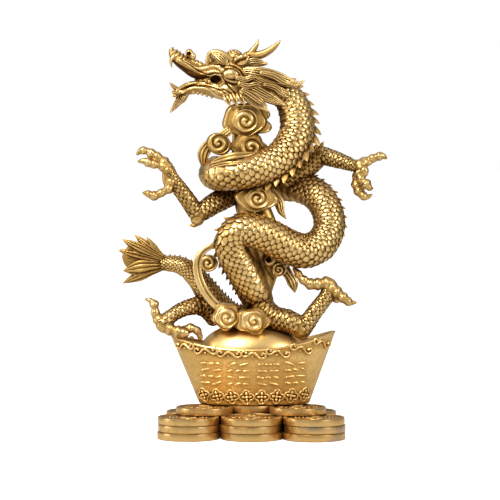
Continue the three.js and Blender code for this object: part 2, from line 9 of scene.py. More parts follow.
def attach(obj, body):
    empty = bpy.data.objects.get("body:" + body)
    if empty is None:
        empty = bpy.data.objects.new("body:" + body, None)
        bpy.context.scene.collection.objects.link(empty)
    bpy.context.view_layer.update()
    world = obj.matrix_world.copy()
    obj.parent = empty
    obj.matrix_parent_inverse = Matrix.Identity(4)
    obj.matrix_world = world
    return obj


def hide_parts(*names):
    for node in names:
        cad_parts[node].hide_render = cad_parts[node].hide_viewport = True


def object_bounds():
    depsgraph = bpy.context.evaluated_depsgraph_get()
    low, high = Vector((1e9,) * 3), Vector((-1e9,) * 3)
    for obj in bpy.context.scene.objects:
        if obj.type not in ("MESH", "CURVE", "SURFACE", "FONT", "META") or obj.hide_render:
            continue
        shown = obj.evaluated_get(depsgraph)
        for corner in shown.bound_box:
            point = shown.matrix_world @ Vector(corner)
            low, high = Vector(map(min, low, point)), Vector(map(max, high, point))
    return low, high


# A cast brass table ornament: a dragon wound round a column of clouds on an ingot, over stacked coins.
# Shapes are worked out in millimetres and put into the scene in metres.
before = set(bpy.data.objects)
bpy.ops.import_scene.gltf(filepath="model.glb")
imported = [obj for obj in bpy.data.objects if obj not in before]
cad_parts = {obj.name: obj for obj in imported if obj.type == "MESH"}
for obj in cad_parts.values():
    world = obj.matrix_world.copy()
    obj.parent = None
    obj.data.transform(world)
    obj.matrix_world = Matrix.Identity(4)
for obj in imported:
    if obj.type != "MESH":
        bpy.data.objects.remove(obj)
cad_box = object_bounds()
MM = 0.001
TAU = 2 * math.pi

# Dragon's body: middle, radius, and the way the back points
BODY = [
    [7.4, 2, 231.3, 8.5, 0.3, 0, 1],
    [18.8, 0, 229.2, 9.2, 0.6, 0, 0.8],
    [26.1, -1, 222.5, 10, 0.9, 0.2, 0.4],
    [29.8, -2, 213.1, 10.8, 1, 0.25, 0],
    [30.7, -4, 203, 11.3, 1, 0.05, -0.1],
    [27.7, -7, 193.7, 11.6, 0.85, -0.75, -0.5],
    [21.3, -10, 185.7, 11.2, 0.55, -0.7, -0.8],
    [11.3, -13, 179.7, 10.9, 0.25, -0.4, -1],
    [-0.7, -15, 176, 10.8, 0.1, 0.25, -1],
    [-13.3, -13, 174.4, 10.8, 0.2, 0.7, -0.7],
    [-21.4, -5, 174, 10.7, 0.6, 0.65, -0.5],
    [-23.9, 5, 174.3, 10.5, 0.6, 0.2, -0.7],
    [-20.3, 16, 173.2, 10.3, 0.2, 0.8, -0.5],
    [-10.2, 24, 170.7, 10.2, -0.2, 1, 0],
    [3.4, 26, 168, 10, 0, 1, 0.2],
    [18.3, 22, 166.3, 10, 0.2, 0.8, 0.5],
    [32.4, 13, 164.7, 10.1, 0.4, 0.3, 0.9],
    [44.4, 6, 158.8, 10.2, 0.8, 0, 0.6],
    [51, 1, 148.1, 10.1, 1, -0.1, 0.2],
    [51.9, -2, 137.5, 10.2, 1, -0.3, -0.1],
    [47.1, -6, 127.6, 10.6, 0.5, -0.8, -0.3],
    [37.3, -10, 122.7, 10.9, -0.1, -0.9, 0.2],
    [25.9, -13, 124.9, 11.2, 0, -0.6, 0.8],
    [14.6, -15, 130.6, 11.3, 0.1, -0.4, 1],
    [4, -16, 135.2, 11.1, 0, -0.3, 1],
    [-5.3, -16, 136.2, 10.9, -0.4, -0.2, 1],
    [-11.6, -15, 131.2, 10.8, -1, -0.1, 0.4],
    [-12.3, -13, 123.2, 10.6, -1, 0, 0],
    [-8.7, -11, 115.1, 10.5, -0.9, 0, -0.4],
    [-3.7, -9, 106.4, 10.6, -0.8, 0.1, -0.5],
    [1, -6, 97.6, 10.5, -0.8, 0.2, -0.4],
    [4.7, 0, 88.5, 10, -0.9, 0.3, -0.1],
    [4, 8, 79.3, 9.6, -0.7, -0.2, 0.6],
    [-3.4, 15, 74.1, 9.3, -0.1, -0.2, 1],
    [-13.5, 16, 76.7, 9, 0.2, 0, 1],
    [-22.6, 10, 84.6, 8.6, 0.6, 0, 0.8],
    [-29.9, 6, 94.2, 7.8, 0.7, 0, 0.6],
    [-36.2, 3, 103.1, 6.7, 0.6, 0, 0.7],
    [-45.6, 1, 111.3, 5.7, 0.3, 0, 1],
    [-55.6, 0, 113.6, 4.9, 0, 0, 1],
    [-63, 0, 113, 4.3, 0, 0, 1],
]
# Width of a scale, as a share of its place in the row
SCALE_OVERLAP = 1.1
# How many scales stand round the body or a limb, the distance between rows, and their height
BODY_SCALES = {"around": 14, "pitch": 2.6, "high": 0.9}
LIMB_SCALES = {"around": 9, "pitch": 2.2, "high": 0.65}
# Half the angle that the belly plates take
BELLY_HALF = 0.8
BELLY_PITCH = 5.4
# Painted light and shade on the belly plates, dark where they turn into shadow and bright on the lit bend:
# station of BODY and share
BELLY_PAINTED_LIGHT = [[0, -0.4], [5, -0.6], [7, 0.1], [8.5, 1], [13, 1], [15, 0.15], [40, 0.4]]
# Width, length and height of a thorn of the crest, and the distance between two
THORN_SIZE = [3.2, 4.6, 3.4]
THORN_PITCH = 4.9
# How big the thorns are: station of BODY and share of full size
CREST_SIZE = [[0, 0.9], [3, 1.3], [4.6, 1.7], [6.5, 1.6], [8.5, 1.2], [11, 0.7], [16, 0.72], [21, 0.7],
              [24, 0.6], [25, 0.8], [26.5, 1.15], [28, 0.8], [31, 0.5], [40, 0.75]]

# Limbs: middle and radius
LIMBS = {
    "fore_left_upper": [[-8.8, 14, 162.7, 8], [-16.8, 8, 158.1, 7], [-26.2, 2, 152.8, 6.4],
                        [-35.8, -2.4, 146, 5.2]],
    "fore_left_lower": [[-36.1, -2, 146.9, 5.2], [-40.8, -3.5, 154.3, 5], [-47.4, -5, 163.6, 4.6],
                        [-52.7, -6.5, 171.7, 3.8], [-56, -7, 179, 3.8]],
    "fore_right_upper": [[23.6, 12, 166.8, 8], [33, 10, 174.2, 7], [41.1, 9, 181, 6.4], [47.8, 8, 187, 5.6]],
    "fore_right_lower": [[46.5, 8, 186.4, 5.6], [53.8, 6, 184.3, 5.2], [61.8, 3, 181.7, 4.4],
                         [69.1, 1, 179.3, 3.6], [73.7, 0, 179, 4.2]],
    "hind_right_upper": [[4.7, -4, 85.4, 9], [14, -8, 78.3, 7.6], [24.6, -11, 75.9, 7],
                         [33.9, -12, 71.3, 6.4]],
    "hind_right_lower": [[33.2, -12, 69.3, 6], [38.6, -11, 76.5, 5.2], [44.6, -10, 84.5, 4.8],
                         [50, -9, 91.7, 4.6], [52.6, -9, 97.7, 4.8]],
    "hind_left_upper": [[-21.6, 10, 77.8, 8.5], [-30.6, 5, 84.9, 7], [-37.5, 1, 85.1, 5.6]],
    "hind_left_lower": [[-35.2, 1, 85.8, 5.4], [-44.8, -3, 83.4, 4.6], [-52.1, -6, 79.5, 4.3],
                        [-57.3, -8, 75, 5], [-58.7, -8, 72.3, 4.6]],
}
# Digits: one that ends thinner than CLAW_TIP ends in a claw's tip
CLAW_TIP = 0.6
DIGITS = [
    [[-55, -7, 178, 3.2], [-58, -7, 181.7, 3.2], [-60.7, -7, 184.3, 2.4], [-64.7, -7, 186.3, 3],
     [-69.4, -7, 189, 2.3], [-73.4, -7, 189, 2.2], [-76.3, -7, 186.3, 0.5]],
    [[-55, -7.5, 176, 3], [-58, -8, 178.3, 3], [-62, -9, 179.7, 2.3], [-66.9, -9.5, 180.7, 2.8],
     [-71.2, -10, 182.3, 2.1], [-75.7, -10, 181.9, 0.4]],
    [[-53.3, -8, 168.3, 3.4], [-54.6, -8.5, 164.3, 3], [-59.3, -9, 161.3, 2.4], [-64.6, -9, 159.3, 2.9],
     [-69, -9, 160.7, 2.1], [-72.6, -9, 161.3, 0.4]],
    [[72, 0, 179.4, 3], [74.4, 0, 181, 3.2], [78.4, 0, 183, 2.4], [83.7, -0.5, 184.7, 2.6],
     [88, -1, 185.7, 2.2], [91, -1, 183.7, 0.5]],
    [[72.4, -1.6, 178.4, 2.8], [73.6, -3, 177.6, 2.6], [76.1, -5, 175.7, 2.4], [77.2, -6, 173.3, 1.2]],
    [[72.4, 0, 177, 3.2], [70.7, 1, 171.6, 2.6], [71.1, 1.5, 165.6, 3.4], [74, 0, 160.2, 3],
     [77.6, -1.5, 158.2, 2], [81.3, -2, 160.2, 0.5]],
    [[71.6, -3, 175, 2.8], [73.5, -5, 170.3, 2.4], [76.8, -6, 167, 3.1], [79.4, -6.5, 164.3, 2.1],
     [81.6, -6.5, 163.9, 0.5]],
    [[53, -9.5, 98, 4.6], [51.9, -10, 100.4, 4.4], [45.9, -11, 100.5, 3.6], [39.9, -11, 100.5, 3.5],
     [34.3, -11, 103.8, 2.6], [30.6, -10.5, 108.5, 2.1], [28.3, -10, 111.1, 1.2]],
    [[53.3, -10, 97.8, 4.6], [58.6, -11, 93.8, 3.3], [63.2, -12, 89.9, 3.1], [66.5, -12, 88.2, 2.1],
     [70.5, -12, 88.2, 0.5]],
    [[53.4, -6, 94.2, 3], [56.8, -4, 90.1, 2.5], [58.2, -3, 87.4, 1]],
    [[-59, -8, 73, 4.4], [-60.7, -8, 75.7, 3.8], [-63.6, -8.5, 79.7, 3], [-64, -9, 83.4, 2.3],
     [-64.6, -9, 86.4, 2.9], [-67.3, -9, 89.4, 1.7], [-71, -9, 90.2, 0.4]],
    [[-58, -8.4, 72.4, 4.4], [-57.3, -9, 71.7, 4.2], [-51.9, -10.5, 69.4, 3.5], [-46.6, -11.5, 68.2, 3.5],
     [-41.9, -12, 67.4, 2.4]],
    [[-45.3, -8, 69, 3], [-40, -8, 70.7, 2.8], [-36, -8, 69, 2.4], [-33.3, -8, 63.4, 1.5]],
]

TOE_PLUMP = 1.12
TOE_WEAR = 0.78
KNUCKLE = {"pitch": 5.2, "high": 0.14}
LIMB_VOXEL = 0.52
# Lumps on the elbows, knees, palms and heels
KNOBS = [
    [[-35.8, -2.4, 143.4], [4.8, 4.8, 4.6]],
    [[-62.4, -8, 182.6], [5, 2.2, 2.8]],
    [[-55.2, -8, 171.8], [4.2, 2.8, 8]],
    [[-55.4, -8, 176], [4.2, 3.6, 4]],
    [[-53.4, -8.4, 168.4], [3.8, 3.6, 3.6]],
    [[47.4, 7, 187.4], [4.6, 5, 4.2]],
    [[73.4, -1, 179.4], [4.8, 4, 4.4]],
    [[78.8, -0.6, 181.2], [2.4, 2.6, 2.2]],
    [[76, -5, 174], [2.4, 2, 2.4]],
    [[33.8, -12, 69.4], [5.6, 6, 5]],
    [[53.4, -9.4, 97.6], [5.4, 5, 4.4]],
    [[56.8, -5, 90], [2.8, 2.6, 2.6]],
    [[-58.4, -8.4, 73], [5.4, 5, 5.2]],
]

HEAD_VOXEL = 0.38
# Head: middle, half height and half width. It is the same on both sides of y = 0
SKULL = [
    [-53.6, 0, 257.4, 1.4, 2],
    [-51.6, 0, 254, 3.6, 3.8],
    [-47.6, 0, 250, 4.6, 5.2],
    [-42.4, 0, 246.4, 5.2, 6],
    [-36.9, 0, 242.6, 5.2, 7],
    [-30.2, 0, 241.4, 4.6, 8.2],
    [-22.8, 0, 243.3, 7, 10.2],
    [-15.4, 0, 242, 10, 12.2],
    [-7.4, 0, 239.3, 12.2, 13],
    [0.7, 0, 235.3, 11, 12],
    [9, 1, 231, 8.8, 9.2],
]
JAW = [
    [-2, 0, 231, 7, 10.2],
    [-11, 0, 229, 7, 10.4],
    [-19.5, 0, 229, 5.8, 9.6],
    [-27.5, 0, 230.4, 4.6, 8.2],
    [-35.5, 0, 231, 3.8, 6.8],
    [-43.6, 0, 229.4, 3.2, 5.6],
    [-49.6, 0, 228, 2.2, 4.4],
    [-52.8, 0, 228.6, 0.8, 2.6],
]
HEAD_BALLS = [
    [[-11.4, 0, 251.6], [5.6, 6.6, 4.6]],
    [[-27, 5.6, 249.4], [2, 1.8, 2]],
    [[-12.5, 12.2, 240], [6, 3.6, 4.2]],
    [[-13.8, 8.6, 229.4], [7.8, 2.8, 5.2]],
    [[-41.2, 3.4, 254.4], [2.6, 2.2, 2.8]],
    [[-38.6, 3.6, 252.2], [1.8, 1.8, 2.6]],
    [[-3, 7, 251.6], [3.4, 3, 3]],
    [[-26.4, 0, 248.4], [3.8, 5.6, 5]],
    [[-23.6, 0, 236.4], [9.5, 7.4, 5]],
    [[-32, 0, 236.2], [6, 4, 2.2]],
]
BROW = [[-29, 5.2, 245.6, 1.6], [-28.8, 6, 250, 1.5], [-27.2, 6.4, 254.2, 1.5], [-22.8, 6.8, 255, 1.8],
        [-17.4, 7.4, 252.6, 2.2], [-12.4, 8.4, 248.4, 1.8]]
LID = [[-26, 8.2, 254.4, 0.6], [-22.6, 9.4, 252.4, 2.4], [-18.6, 10.4, 249.2, 3], [-15.2, 11, 245.8, 0.8]]
EAR = [[-10.6, 10.4, 247, 1.2], [-8.6, 12.4, 248.4, 3.2], [-5, 13.4, 249.6, 3.4], [-1.6, 13.6, 251.6, 0.5]]
# Cuts round the eye, along the lips and over the cheek, seen from the front
HEAD_CUTS = [
    [[-18.7, 240.9], [-17.1, 242.9], [-14, 243.7], [-10.7, 242.9], [-7.8, 240.2], [-8.3, 237.4],
     [-11.8, 236.1], [-15.4, 236.7], [-17.8, 238.3], [-18.7, 240.9]],
    [[-20, 244.7], [-16.7, 245.9], [-12.2, 245.5], [-7.4, 242.4], [-4.7, 238.2]],
    [[-19.4, 238.7], [-17.1, 235.6], [-12.9, 233.8], [-7.3, 233.6], [-0.1, 234.3]],
    [[-45.4, 249.2], [-39, 245.2], [-34.1, 242], [-28.5, 240], [-23.6, 240.8], [-19.4, 240.1]],
    [[-46.5, 229.8], [-41.9, 231.8], [-35.2, 233], [-28.5, 232.2], [-22.9, 230.4], [-17.1, 227.4]],
    [[-16.5, 234.2], [-14, 231.1], [-10.5, 227.5]],
    [[-21.6, 229.8], [-17.1, 229.3], [-12.9, 226.9]],
    [[-24.4, 246.4], [-20.4, 246.8], [-17.4, 248.4]],
]
CUT = {"wide": 0.55, "deep": 0.75}
# Ridges over the side of the head, seen from the front: x, z and radius
SIDE_RIDGES = [
    [[-48, 249.6, 0.8], [-42.6, 247.2, 1.1], [-37.1, 243.8, 1.2], [-30.2, 244.1, 1.2], [-23.5, 245.4, 1.3],
     [-18.6, 242.6, 1.3], [-15.6, 237, 1.3], [-8.8, 234.6, 1.3], [-1.4, 236.2, 1.1]],
    [[-41.6, 241.4, 0.8], [-35.7, 239.6, 1], [-29.5, 241, 0.9], [-23.5, 241.8, 0.9], [-19.4, 239.6, 0.8],
     [-17.8, 235.4, 0.8], [-20.8, 232.6, 0.8], [-25, 233.2, 0.7]],
    [[-50, 228.6, 0.9], [-46.4, 231.4, 1], [-41.4, 233.8, 1.1], [-35, 234.6, 1], [-30.2, 233.8, 0.9]],
    [[-46, 227.4, 0.7], [-40.5, 230.6, 0.8], [-33.7, 231, 0.8], [-28.2, 229.9, 0.8], [-22.7, 226, 0.8],
     [-17, 224.4, 0.6]],
]
MOUTH_CORNER = {"at": [-23.6, 236.6], "half": [3.2, 2.3], "depth": 4.2}
MOUTH_PEARL = [-27.6, 235.3, 1.5]
JAW_LUMPS = [[-38.4, 228.6, 1.1], [-35.6, 228.3, 1.2], [-32.6, 227.8, 1.2], [-29.6, 226.8, 1.2],
             [-26.4, 225.6, 1.1]]
SNOUT_BEADS = [[-38.8, 249.4], [-36.2, 248.6], [-33.6, 247.4], [-31.2, 246]]
NOSE_RIDGES = {"from_x": -43, "pitch": 3, "high": 0.8}
CROWN_BEADS = {"count": 26, "turn": 2.4, "spread": 0.92, "half": 0.95}
HORN = [[-7.4, 5.4, 248.6, 3], [-1.4, 6.8, 252.6, 2.9], [4.4, 7.6, 252.8, 2.7], [10, 8.6, 254.6, 2.3],
        [15.2, 9.6, 258, 1.7], [19.4, 10, 262.2, 0.5]]
HORN_TINE = [[-2, 6.8, 252.4, 2.2], [1.2, 7.4, 256, 1.9], [3.6, 7.8, 259.4, 1.4], [5, 8.2, 262.9, 0.4]]
LOCKS = [
    [[-4, 10, 247, 2], [2, 10.5, 248.4, 2.6], [7, 10, 247.6, 1.8], [10.9, 9, 247.2, 0.4]],
    [[-6, 11, 242, 2.6], [1.6, 12.6, 241, 4], [9.8, 12.8, 239.2, 4.9], [18.4, 12, 236.6, 4.7],
     [27, 10.4, 234.2, 2.8], [31.6, 9, 233.8, 1.5], [35.6, 8, 235.8, 0.4]],
    [[-1, 13, 237.6, 2.6], [6, 14.4, 235.2, 3.2], [13.4, 14.6, 231.8, 3.1], [20, 13.6, 229.2, 1.9],
     [24.8, 12.6, 228.2, 0.4]],
    [[-4, 12.6, 232.8, 2.8], [3, 14.6, 229.8, 4], [10, 15, 226, 4], [17, 14, 222.2, 2.6],
     [23.1, 12.6, 219.3, 0.4]],
    [[4, 13.4, 232.4, 2], [11, 14.2, 230, 2.4], [18, 13.4, 227.2, 2], [24.4, 12.2, 224.8, 0.4]],
    [[-7, 10.4, 229, 2.6], [-1.4, 12, 224.4, 3.1], [5, 12, 220, 2.8], [12.2, 10.6, 214.9, 0.4]],
    [[-17.4, 9.6, 226.6, 1.6], [-16, 11.4, 223.4, 2], [-13.6, 11.6, 219, 0.3]],
    [[-13, 10.4, 227, 1.8], [-11.4, 12, 223.6, 2.1], [-8.6, 12.2, 218.6, 0.3]],
    [[-8.6, 11, 227.6, 1.8], [-7, 12.8, 224.2, 2.1], [-4, 13, 219.4, 0.3]],
]
# How many grooves a lock has, if its second radius is over the first number
LOCK_GROOVES = [[3, 5], [2.2, 3], [0, 1]]
# Short locks that lie over the long ones
OVER_LOCKS = [
    [[-10.1, 15.6, 237.8, 1.2], [-4, 15.6, 236.4, 1.8], [1.6, 15.6, 237.8, 1.6], [6.6, 14.2, 235.8, 0.3]],
    [[-8.5, 15.6, 233.9, 1.2], [-1.8, 15.6, 232, 2], [4.3, 15.6, 232.8, 1.8], [11.6, 14.2, 229.8, 0.3]],
    [[-6.2, 15.6, 229.8, 1.4], [-0.1, 15.6, 226.6, 2.2], [6, 15.6, 222.2, 2], [10.5, 14.2, 218.8, 0.3]],
    [[6, 15.6, 240.6, 1.2], [14.9, 15.6, 238.9, 2.2], [22.7, 15.6, 234.4, 1.8], [28.3, 14.2, 232.8, 0.3]],
    [[8.2, 15.6, 232.8, 1.2], [16, 15.6, 230.9, 2], [21, 15.6, 227.2, 1.6], [25.5, 14.2, 228.3, 0.3]],
]
# The roof of the mouth gets painted shade under the line of the upper lip, above the line of the lower one
LIP_LINE = [[-52, 250.6], [-50.4, 249.2], [-46, 246.6], [-41.4, 244], [-37, 241.6], [-30, 240],
            [-26.6, 238.6]]
GUM_LINE = [[-52, 229], [-45.6, 232], [-38.9, 235.4], [-32, 236.6], [-26.6, 237.2]]
BEARD = [[[-45.6, 0, 228.6, 3], [-47.6, 0, 223.8, 2.9], [-50.6, 0, 219.2, 1.9], [-54.2, 0, 214.7, 0.4]],
         [[-43, 3, 227.6, 1.8], [-45.2, 3.2, 223.4, 1.6], [-48.6, 3, 219.8, 0.4]]]
CHIN_SPIKES = [[[-48, 2.6, 229.4, 1.7], [-51.4, 3.2, 231.6, 1.5], [-54.6, 3.4, 235, 0.3]],
               [[-48, 2, 227.4, 1.6], [-50.8, 2.2, 226.2, 1.2], [-53.4, 2.2, 225.4, 0.3]]]
FANG = [[-51, 3, 252.6, 1.6], [-53.3, 3.4, 249.6, 1.2], [-53.2, 3.4, 244.8, 0.25]]

# Tail fan: tips seen from the front, and how wide each lobe is
TAIL_ROOT = [-55.4, -4, 113.4]
TAIL_ROOT_SPREAD = 0.15
# How wide a lobe is, as a share of its half width: share of its length and share of the width
TAIL_LOBE = [[0, 0.1], [0.2, 0.7], [0.36, 0.95], [0.6, 1.3], [0.82, 0.85], [1, 0.08]]
TAIL_TIPS = [
    {"tip": [-70.1, 131.9], "bow": 1.2, "half": 1.7, "y": -1},
    {"tip": [-78.2, 133.1], "bow": 0.8, "half": 2.2, "y": 0.6},
    {"tip": [-86.2, 129.9], "bow": 0.8, "half": 2.9, "y": -0.8},
    {"tip": [-89.1, 122.6], "bow": 0.2, "half": 3.1, "y": 0.8},
    {"tip": [-85.6, 108.8], "bow": -0.4, "half": 4.4, "y": -0.8},
    {"tip": [-86, 100.4], "bow": -1, "half": 2.8, "y": 0.4},
]

# Curls on the body, seen from the front: x, z, radius and the way they wind
CURLS = [[-14, 172.2, 3.4, 1], [-7.4, 169.6, 2.6, -1], [-19.6, 168.4, 2.4, 1], [-2.7, 90.8, 3.2, 1],
         [3.2, 87, 2.8, -1], [8, 94.4, 2.8, 1], [-7.6, 97, 2.4, -1]]
# Flames at the shoulders, the left bend and the elbows
FLAMES = [
    [[-27, -14, 180.6, 1], [-20, -19, 182.6, 3], [-11, -21, 184.6, 3.6], [-2, -19.5, 186, 2.6],
     [5, -16, 188.4, 0.4]],
    [[-29, -12, 176, 1], [-23, -18, 178.6, 2], [-15, -23, 180, 2.2], [-6, -24.4, 180.6, 1.6],
     [0, -24.6, 182, 0.4]],
    [[45, 8, 187, 2.2], [46.6, 8, 191.4, 2], [49, 8, 195.4, 0.4]],
    [[41.6, 7, 186.6, 2], [43.2, 7, 190.8, 1.8], [45, 7, 194.2, 0.4]],
    [[-35, -3, 141.6, 2.2], [-38, -4, 139.6, 1.8], [-41.6, -4.4, 139.8, 0.4]],
    [[30, -12, 66.6, 2.2], [34, -13, 64.6, 2], [38.6, -13, 64.8, 0.4]],
]

TAIL_WEAR = 0.66
TAIL_WEB = [[-58.6, 0, 113.5, 4.5, 4.7], [-61.6, 0, 113.8, 3.8, 4.9], [-66, 0, 115, 2.2, 6.4],
            [-70, 0, 116, 1.8, 8.8], [-76, 0, 117.4, 1.6, 10.8], [-81, 0, 118, 1.3, 9],
            [-84.6, 0, 118.2, 0.9, 5], [-86.4, 0, 118.4, 0.3, 1]]

# Clouds, seen from the front. Some clouds carry painted light and shade over the whole cloud: the high ones
# are painted darker, the low ones lighter
CLOUDS = [
    {"at": [-4.4, 209.6], "half": [14.8, 11.8], "y": [-6.4, 7], "lobes": 5, "wave": 0.05, "turn": 1.2,
     "heart": [1, -0.4], "rounds": 1.6, "way": 1, "collar": 0.66, "eye": 7.2, "painted_light": -0.15},
    {"at": [6.4, 213.2], "half": [6.2, 4.8], "y": [-3.6, 5], "lobes": 3, "wave": 0.05, "turn": 0,
     "dome": 0.7},
    {"at": [7.2, 205.4], "half": [6.6, 5], "y": [-4, 5], "lobes": 3, "wave": 0.05, "turn": 1, "dome": 0.9},
    {"at": [-21.4, 193.6], "half": [8, 7.6], "y": [-14, -4], "lobes": 2, "wave": 0.08, "turn": 1.2,
     "heart": [0, 0.6], "rounds": 1.7, "way": -1, "painted_light": -0.25},
    {"at": [-2, 191.8], "half": [12.2, 8.6], "y": [-8, 5], "lobes": 6, "wave": 0.09, "turn": 0.3,
     "heart": [2.4, -0.6], "rounds": 1.3, "way": -1, "collar": 0.6, "eye": 6.2, "painted_light": -0.2},
    {"at": [3.8, 157.4], "half": [14, 9.2], "y": [-12.6, -1], "lobes": 4, "wave": 0.08, "turn": 0.9,
     "heart": [0.6, 0.2], "rounds": 1.6, "way": 1, "collar": 0.66, "eye": 6.6},
    {"at": [16, 114.6], "half": [8.4, 9.8], "y": [-4, 10], "lobes": 4, "wave": 0.09, "turn": 0.2,
     "heart": [-4.4, 1.8], "rounds": 0.9, "way": 1, "collar": 0.5, "eye": 4, "pit": 3},
    {"at": [18.6, 109.8], "half": [5.4, 5], "y": [-7, 4], "lobes": 3, "wave": 0.06, "turn": 0,
     "heart": [0, 0], "rounds": 1.5, "way": -1, "collar": 0.86, "eye": 4},
    {"at": [-16.3, 79.4], "half": [9.6, 9.2], "y": [-19.5, -7], "lobes": 5, "wave": 0.08, "turn": 2,
     "heart": [0.6, -0.8], "rounds": 1.6, "way": 1, "collar": 0.78, "eye": 7, "painted_light": 0.3},
    {"at": [1.3, 76.4], "half": [11.6, 8.8], "y": [-20.5, -7], "lobes": 5, "wave": 0.1, "turn": 0.4,
     "heart": [1, -0.4], "rounds": 1.6, "way": -1, "collar": 0.74, "eye": 7, "painted_light": 0.3},
]
TRUNK = [[-3.4, 1, 214, 6], [-3.4, 2, 199.8, 9.2], [-3.4, 4, 183, 9.4], [-2.7, 4, 166.2, 9],
         [0.7, 4, 152.8, 11.8], [7.4, 3, 138, 11], [9, 6, 124, 12], [9, 8, 108, 9.6], [7, 7, 94, 7],
         [-0.7, 2, 74, 9]]
STRAP = [[-20.6, -9, 125.4, 1.2], [-26.6, -9, 125.4, 1.8], [-32, -9.2, 122.2, 2.3], [-35.4, -9.4, 116, 2.7],
         [-35.4, -9.6, 108, 2.8], [-32.6, -10, 99, 2.9], [-27, -11.5, 90.6, 2.9], [-20.3, -13, 84, 2.8]]
STRAP_CURL = {"at": [-28.6, 114.2], "half": [6.4, 6], "y": [-9.6, -3], "lobes": 2, "wave": 0.03, "turn": 0,
              "heart": [0, 0], "rounds": 1.7, "way": 1}
PENDANTS = [
    [[13, 2, 161, 4], [18.6, 0, 154.6, 3.6], [20.2, -1, 148.6, 2.4], [23.6, -1, 143.6, 0.4]],
    [[19, 5, 114, 5], [25, 4, 106, 3.4], [28.4, 4, 99.6, 3.6], [29.6, 4, 94, 0.6]],
    [[9, -7, 88, 2.8], [13, -10, 85, 2.8], [17.4, -11, 82, 1.2]],
    [[-14, -8, 203, 3], [-20, -9, 198.6, 3], [-27, -8.6, 194, 3.4], [-31.6, -7, 187.4, 4],
     [-32, -4, 180, 2]],
]

# Ingot: foot is the height of its underside, _x is half a length and _y half a width
INGOT = {"foot": 19.9, "foot_x": 37, "foot_y": 17, "top_x": 55.4, "top_y": 27, "middle_x": 1.4,
         "bulge": 1.25, "rim_low": 57.9, "rim_rise": 9.3, "tilt": 0.024, "deck": 3.4, "shift": 0.8}
DOME = {"at": [1.3, 0, 54], "half": [36, 22, 20.5]}
SCROLLS = {"count": 7, "spread": 0.87, "share": 0.9, "size": [1.24, 1.34, 1.4]}
FLOWERS = {"count": 8, "spread": 0.86, "share": 0.145, "size": [1.62, 1.62, 1.4]}
# Width and height of a stroke
STROKE_SIZE = [2.3, 1.7]
STROKE_BLOCKS = [-26.6, -8.7, 11.5, 30]
STROKE_FIELD = {"low": 34.2, "high": 47.6, "wide": 15.6, "rows": 4}

# Coins
COIN = {"radius": 20.2, "thick": 4.9, "rim": 2.2, "sunk": 0.7, "hole": 3.2, "pit": 1.4, "flare": 0.55,
        "slip": 0.5}
STACK_LAYERS = [0, 1, 2]
STACKS = [[-41, -35], [0, -36.5], [41.5, -38], [-36.5, 1], [36.5, 1], [-20, 28], [20, 28]]
# Where the plating of the coins is rubbed off: middle and half size
RUBBED = [[[57, -48, 7.6], [5, 8, 2.2]], [[54, -51, 1.6], [7, 7, 1.7]], [[43, -57, 9.4], [7, 6, 1]]]
TOP_COINS = {"radius": 18.8, "sink": 0.1, "places": [[-31, -18.5], [31, -18.5], [0, 20], [0, 0]]}


# Shapes
class Shape:
    """Triangles in millimetres, and how bright each point is kept: 0 in dirt and in painted shade, 1 on a
    worn edge and in painted light. A darker or brighter spot goes past either end."""

    def __init__(self, points, faces, worn=1.0):
        self.points = np.asarray(points, float).reshape(-1, 3)
        self.faces = np.asarray(faces, int).reshape(-1, 3)
        self.worn = np.array(np.broadcast_to(worn, len(self.points)), float)

    def mirrored(self):
        """The same shape on the other side of y = 0."""
        return Shape(self.points * [1, -1, 1], self.faces[:, ::-1], self.worn)


def together(shapes):
    shapes = list(shapes)
    starts = np.cumsum([0] + [len(s.points) for s in shapes[:-1]])
    return Shape(np.vstack([s.points for s in shapes]),
                 np.vstack([s.faces + start for s, start in zip(shapes, starts)]),
                 np.concatenate([s.worn for s in shapes]))


def both_sides(shape):
    return [shape, shape.mirrored()]


def all_on_both_sides(shapes):
    return [side for shape in shapes for side in both_sides(shape)]


def to_near_side(stations):
    """Stations of the head brought to its near side, where y is below 0."""
    return [[x, -y, z, radius] for x, y, z, radius in stations]


def skin(rings, first, last, worn=None):
    """A closed skin over rings of equal length, with a point at each end."""
    count, sides = rings.shape[:2]
    points = np.vstack([np.reshape(first, (1, 3)), rings.reshape(-1, 3), np.reshape(last, (1, 3))])
    row = 1 + np.arange(count - 1)[:, None] * sides
    k = np.arange(sides)
    follow = (k + 1) % sides
    a, b = row + k, row + follow
    end = 1 + (count - 1) * sides
    faces = np.vstack([np.stack([a, b, b + sides], -1).reshape(-1, 3),
                       np.stack([a, b + sides, a + sides], -1).reshape(-1, 3),
                       np.stack([0 * k, 1 + follow, 1 + k], 1),
                       np.stack([0 * k + end + sides, end + k, end + follow], 1)])
    if worn is None:
        return Shape(points, faces)
    return Shape(points, faces, [np.mean(worn[0]), *worn.reshape(-1), np.mean(worn[-1])])


def through(values, per, centripetal=True):
    """A smooth curve through the values, with per steps from each to the next."""
    p = np.asarray(values, float)
    padded = np.vstack([2 * p[0] - p[1], p, 2 * p[-1] - p[-2]])
    t = (np.arange(per) / per)[:, None]
    spans = []
    for a, b, c, d in zip(padded, padded[1:], padded[2:], padded[3:]):
        gaps = (np.linalg.norm(q - r) ** 0.5 for q, r in ((b, a), (c, b), (d, c)))
        da, db, dc = (max(gap, 1e-4) if centripetal else 1 for gap in gaps)
        start = ((b - a) / da - (c - a) / (da + db) + (c - b) / db) * db
        end = ((c - b) / db - (d - b) / (db + dc) + (d - c) / dc) * db
        spans.append(b + start * t + (3 * (c - b) - 2 * start - end) * t**2
                     + (2 * (b - c) + start + end) * t**3)
    return np.vstack(spans + [p[-1:]])


def unit(v):
    return v / np.maximum(np.linalg.norm(v, axis=-1, keepdims=True), 1e-9)


THINNEST = 0.12
# How far a tube's rounded end stands out, as a share of its radius
END_BULGE = 0.45


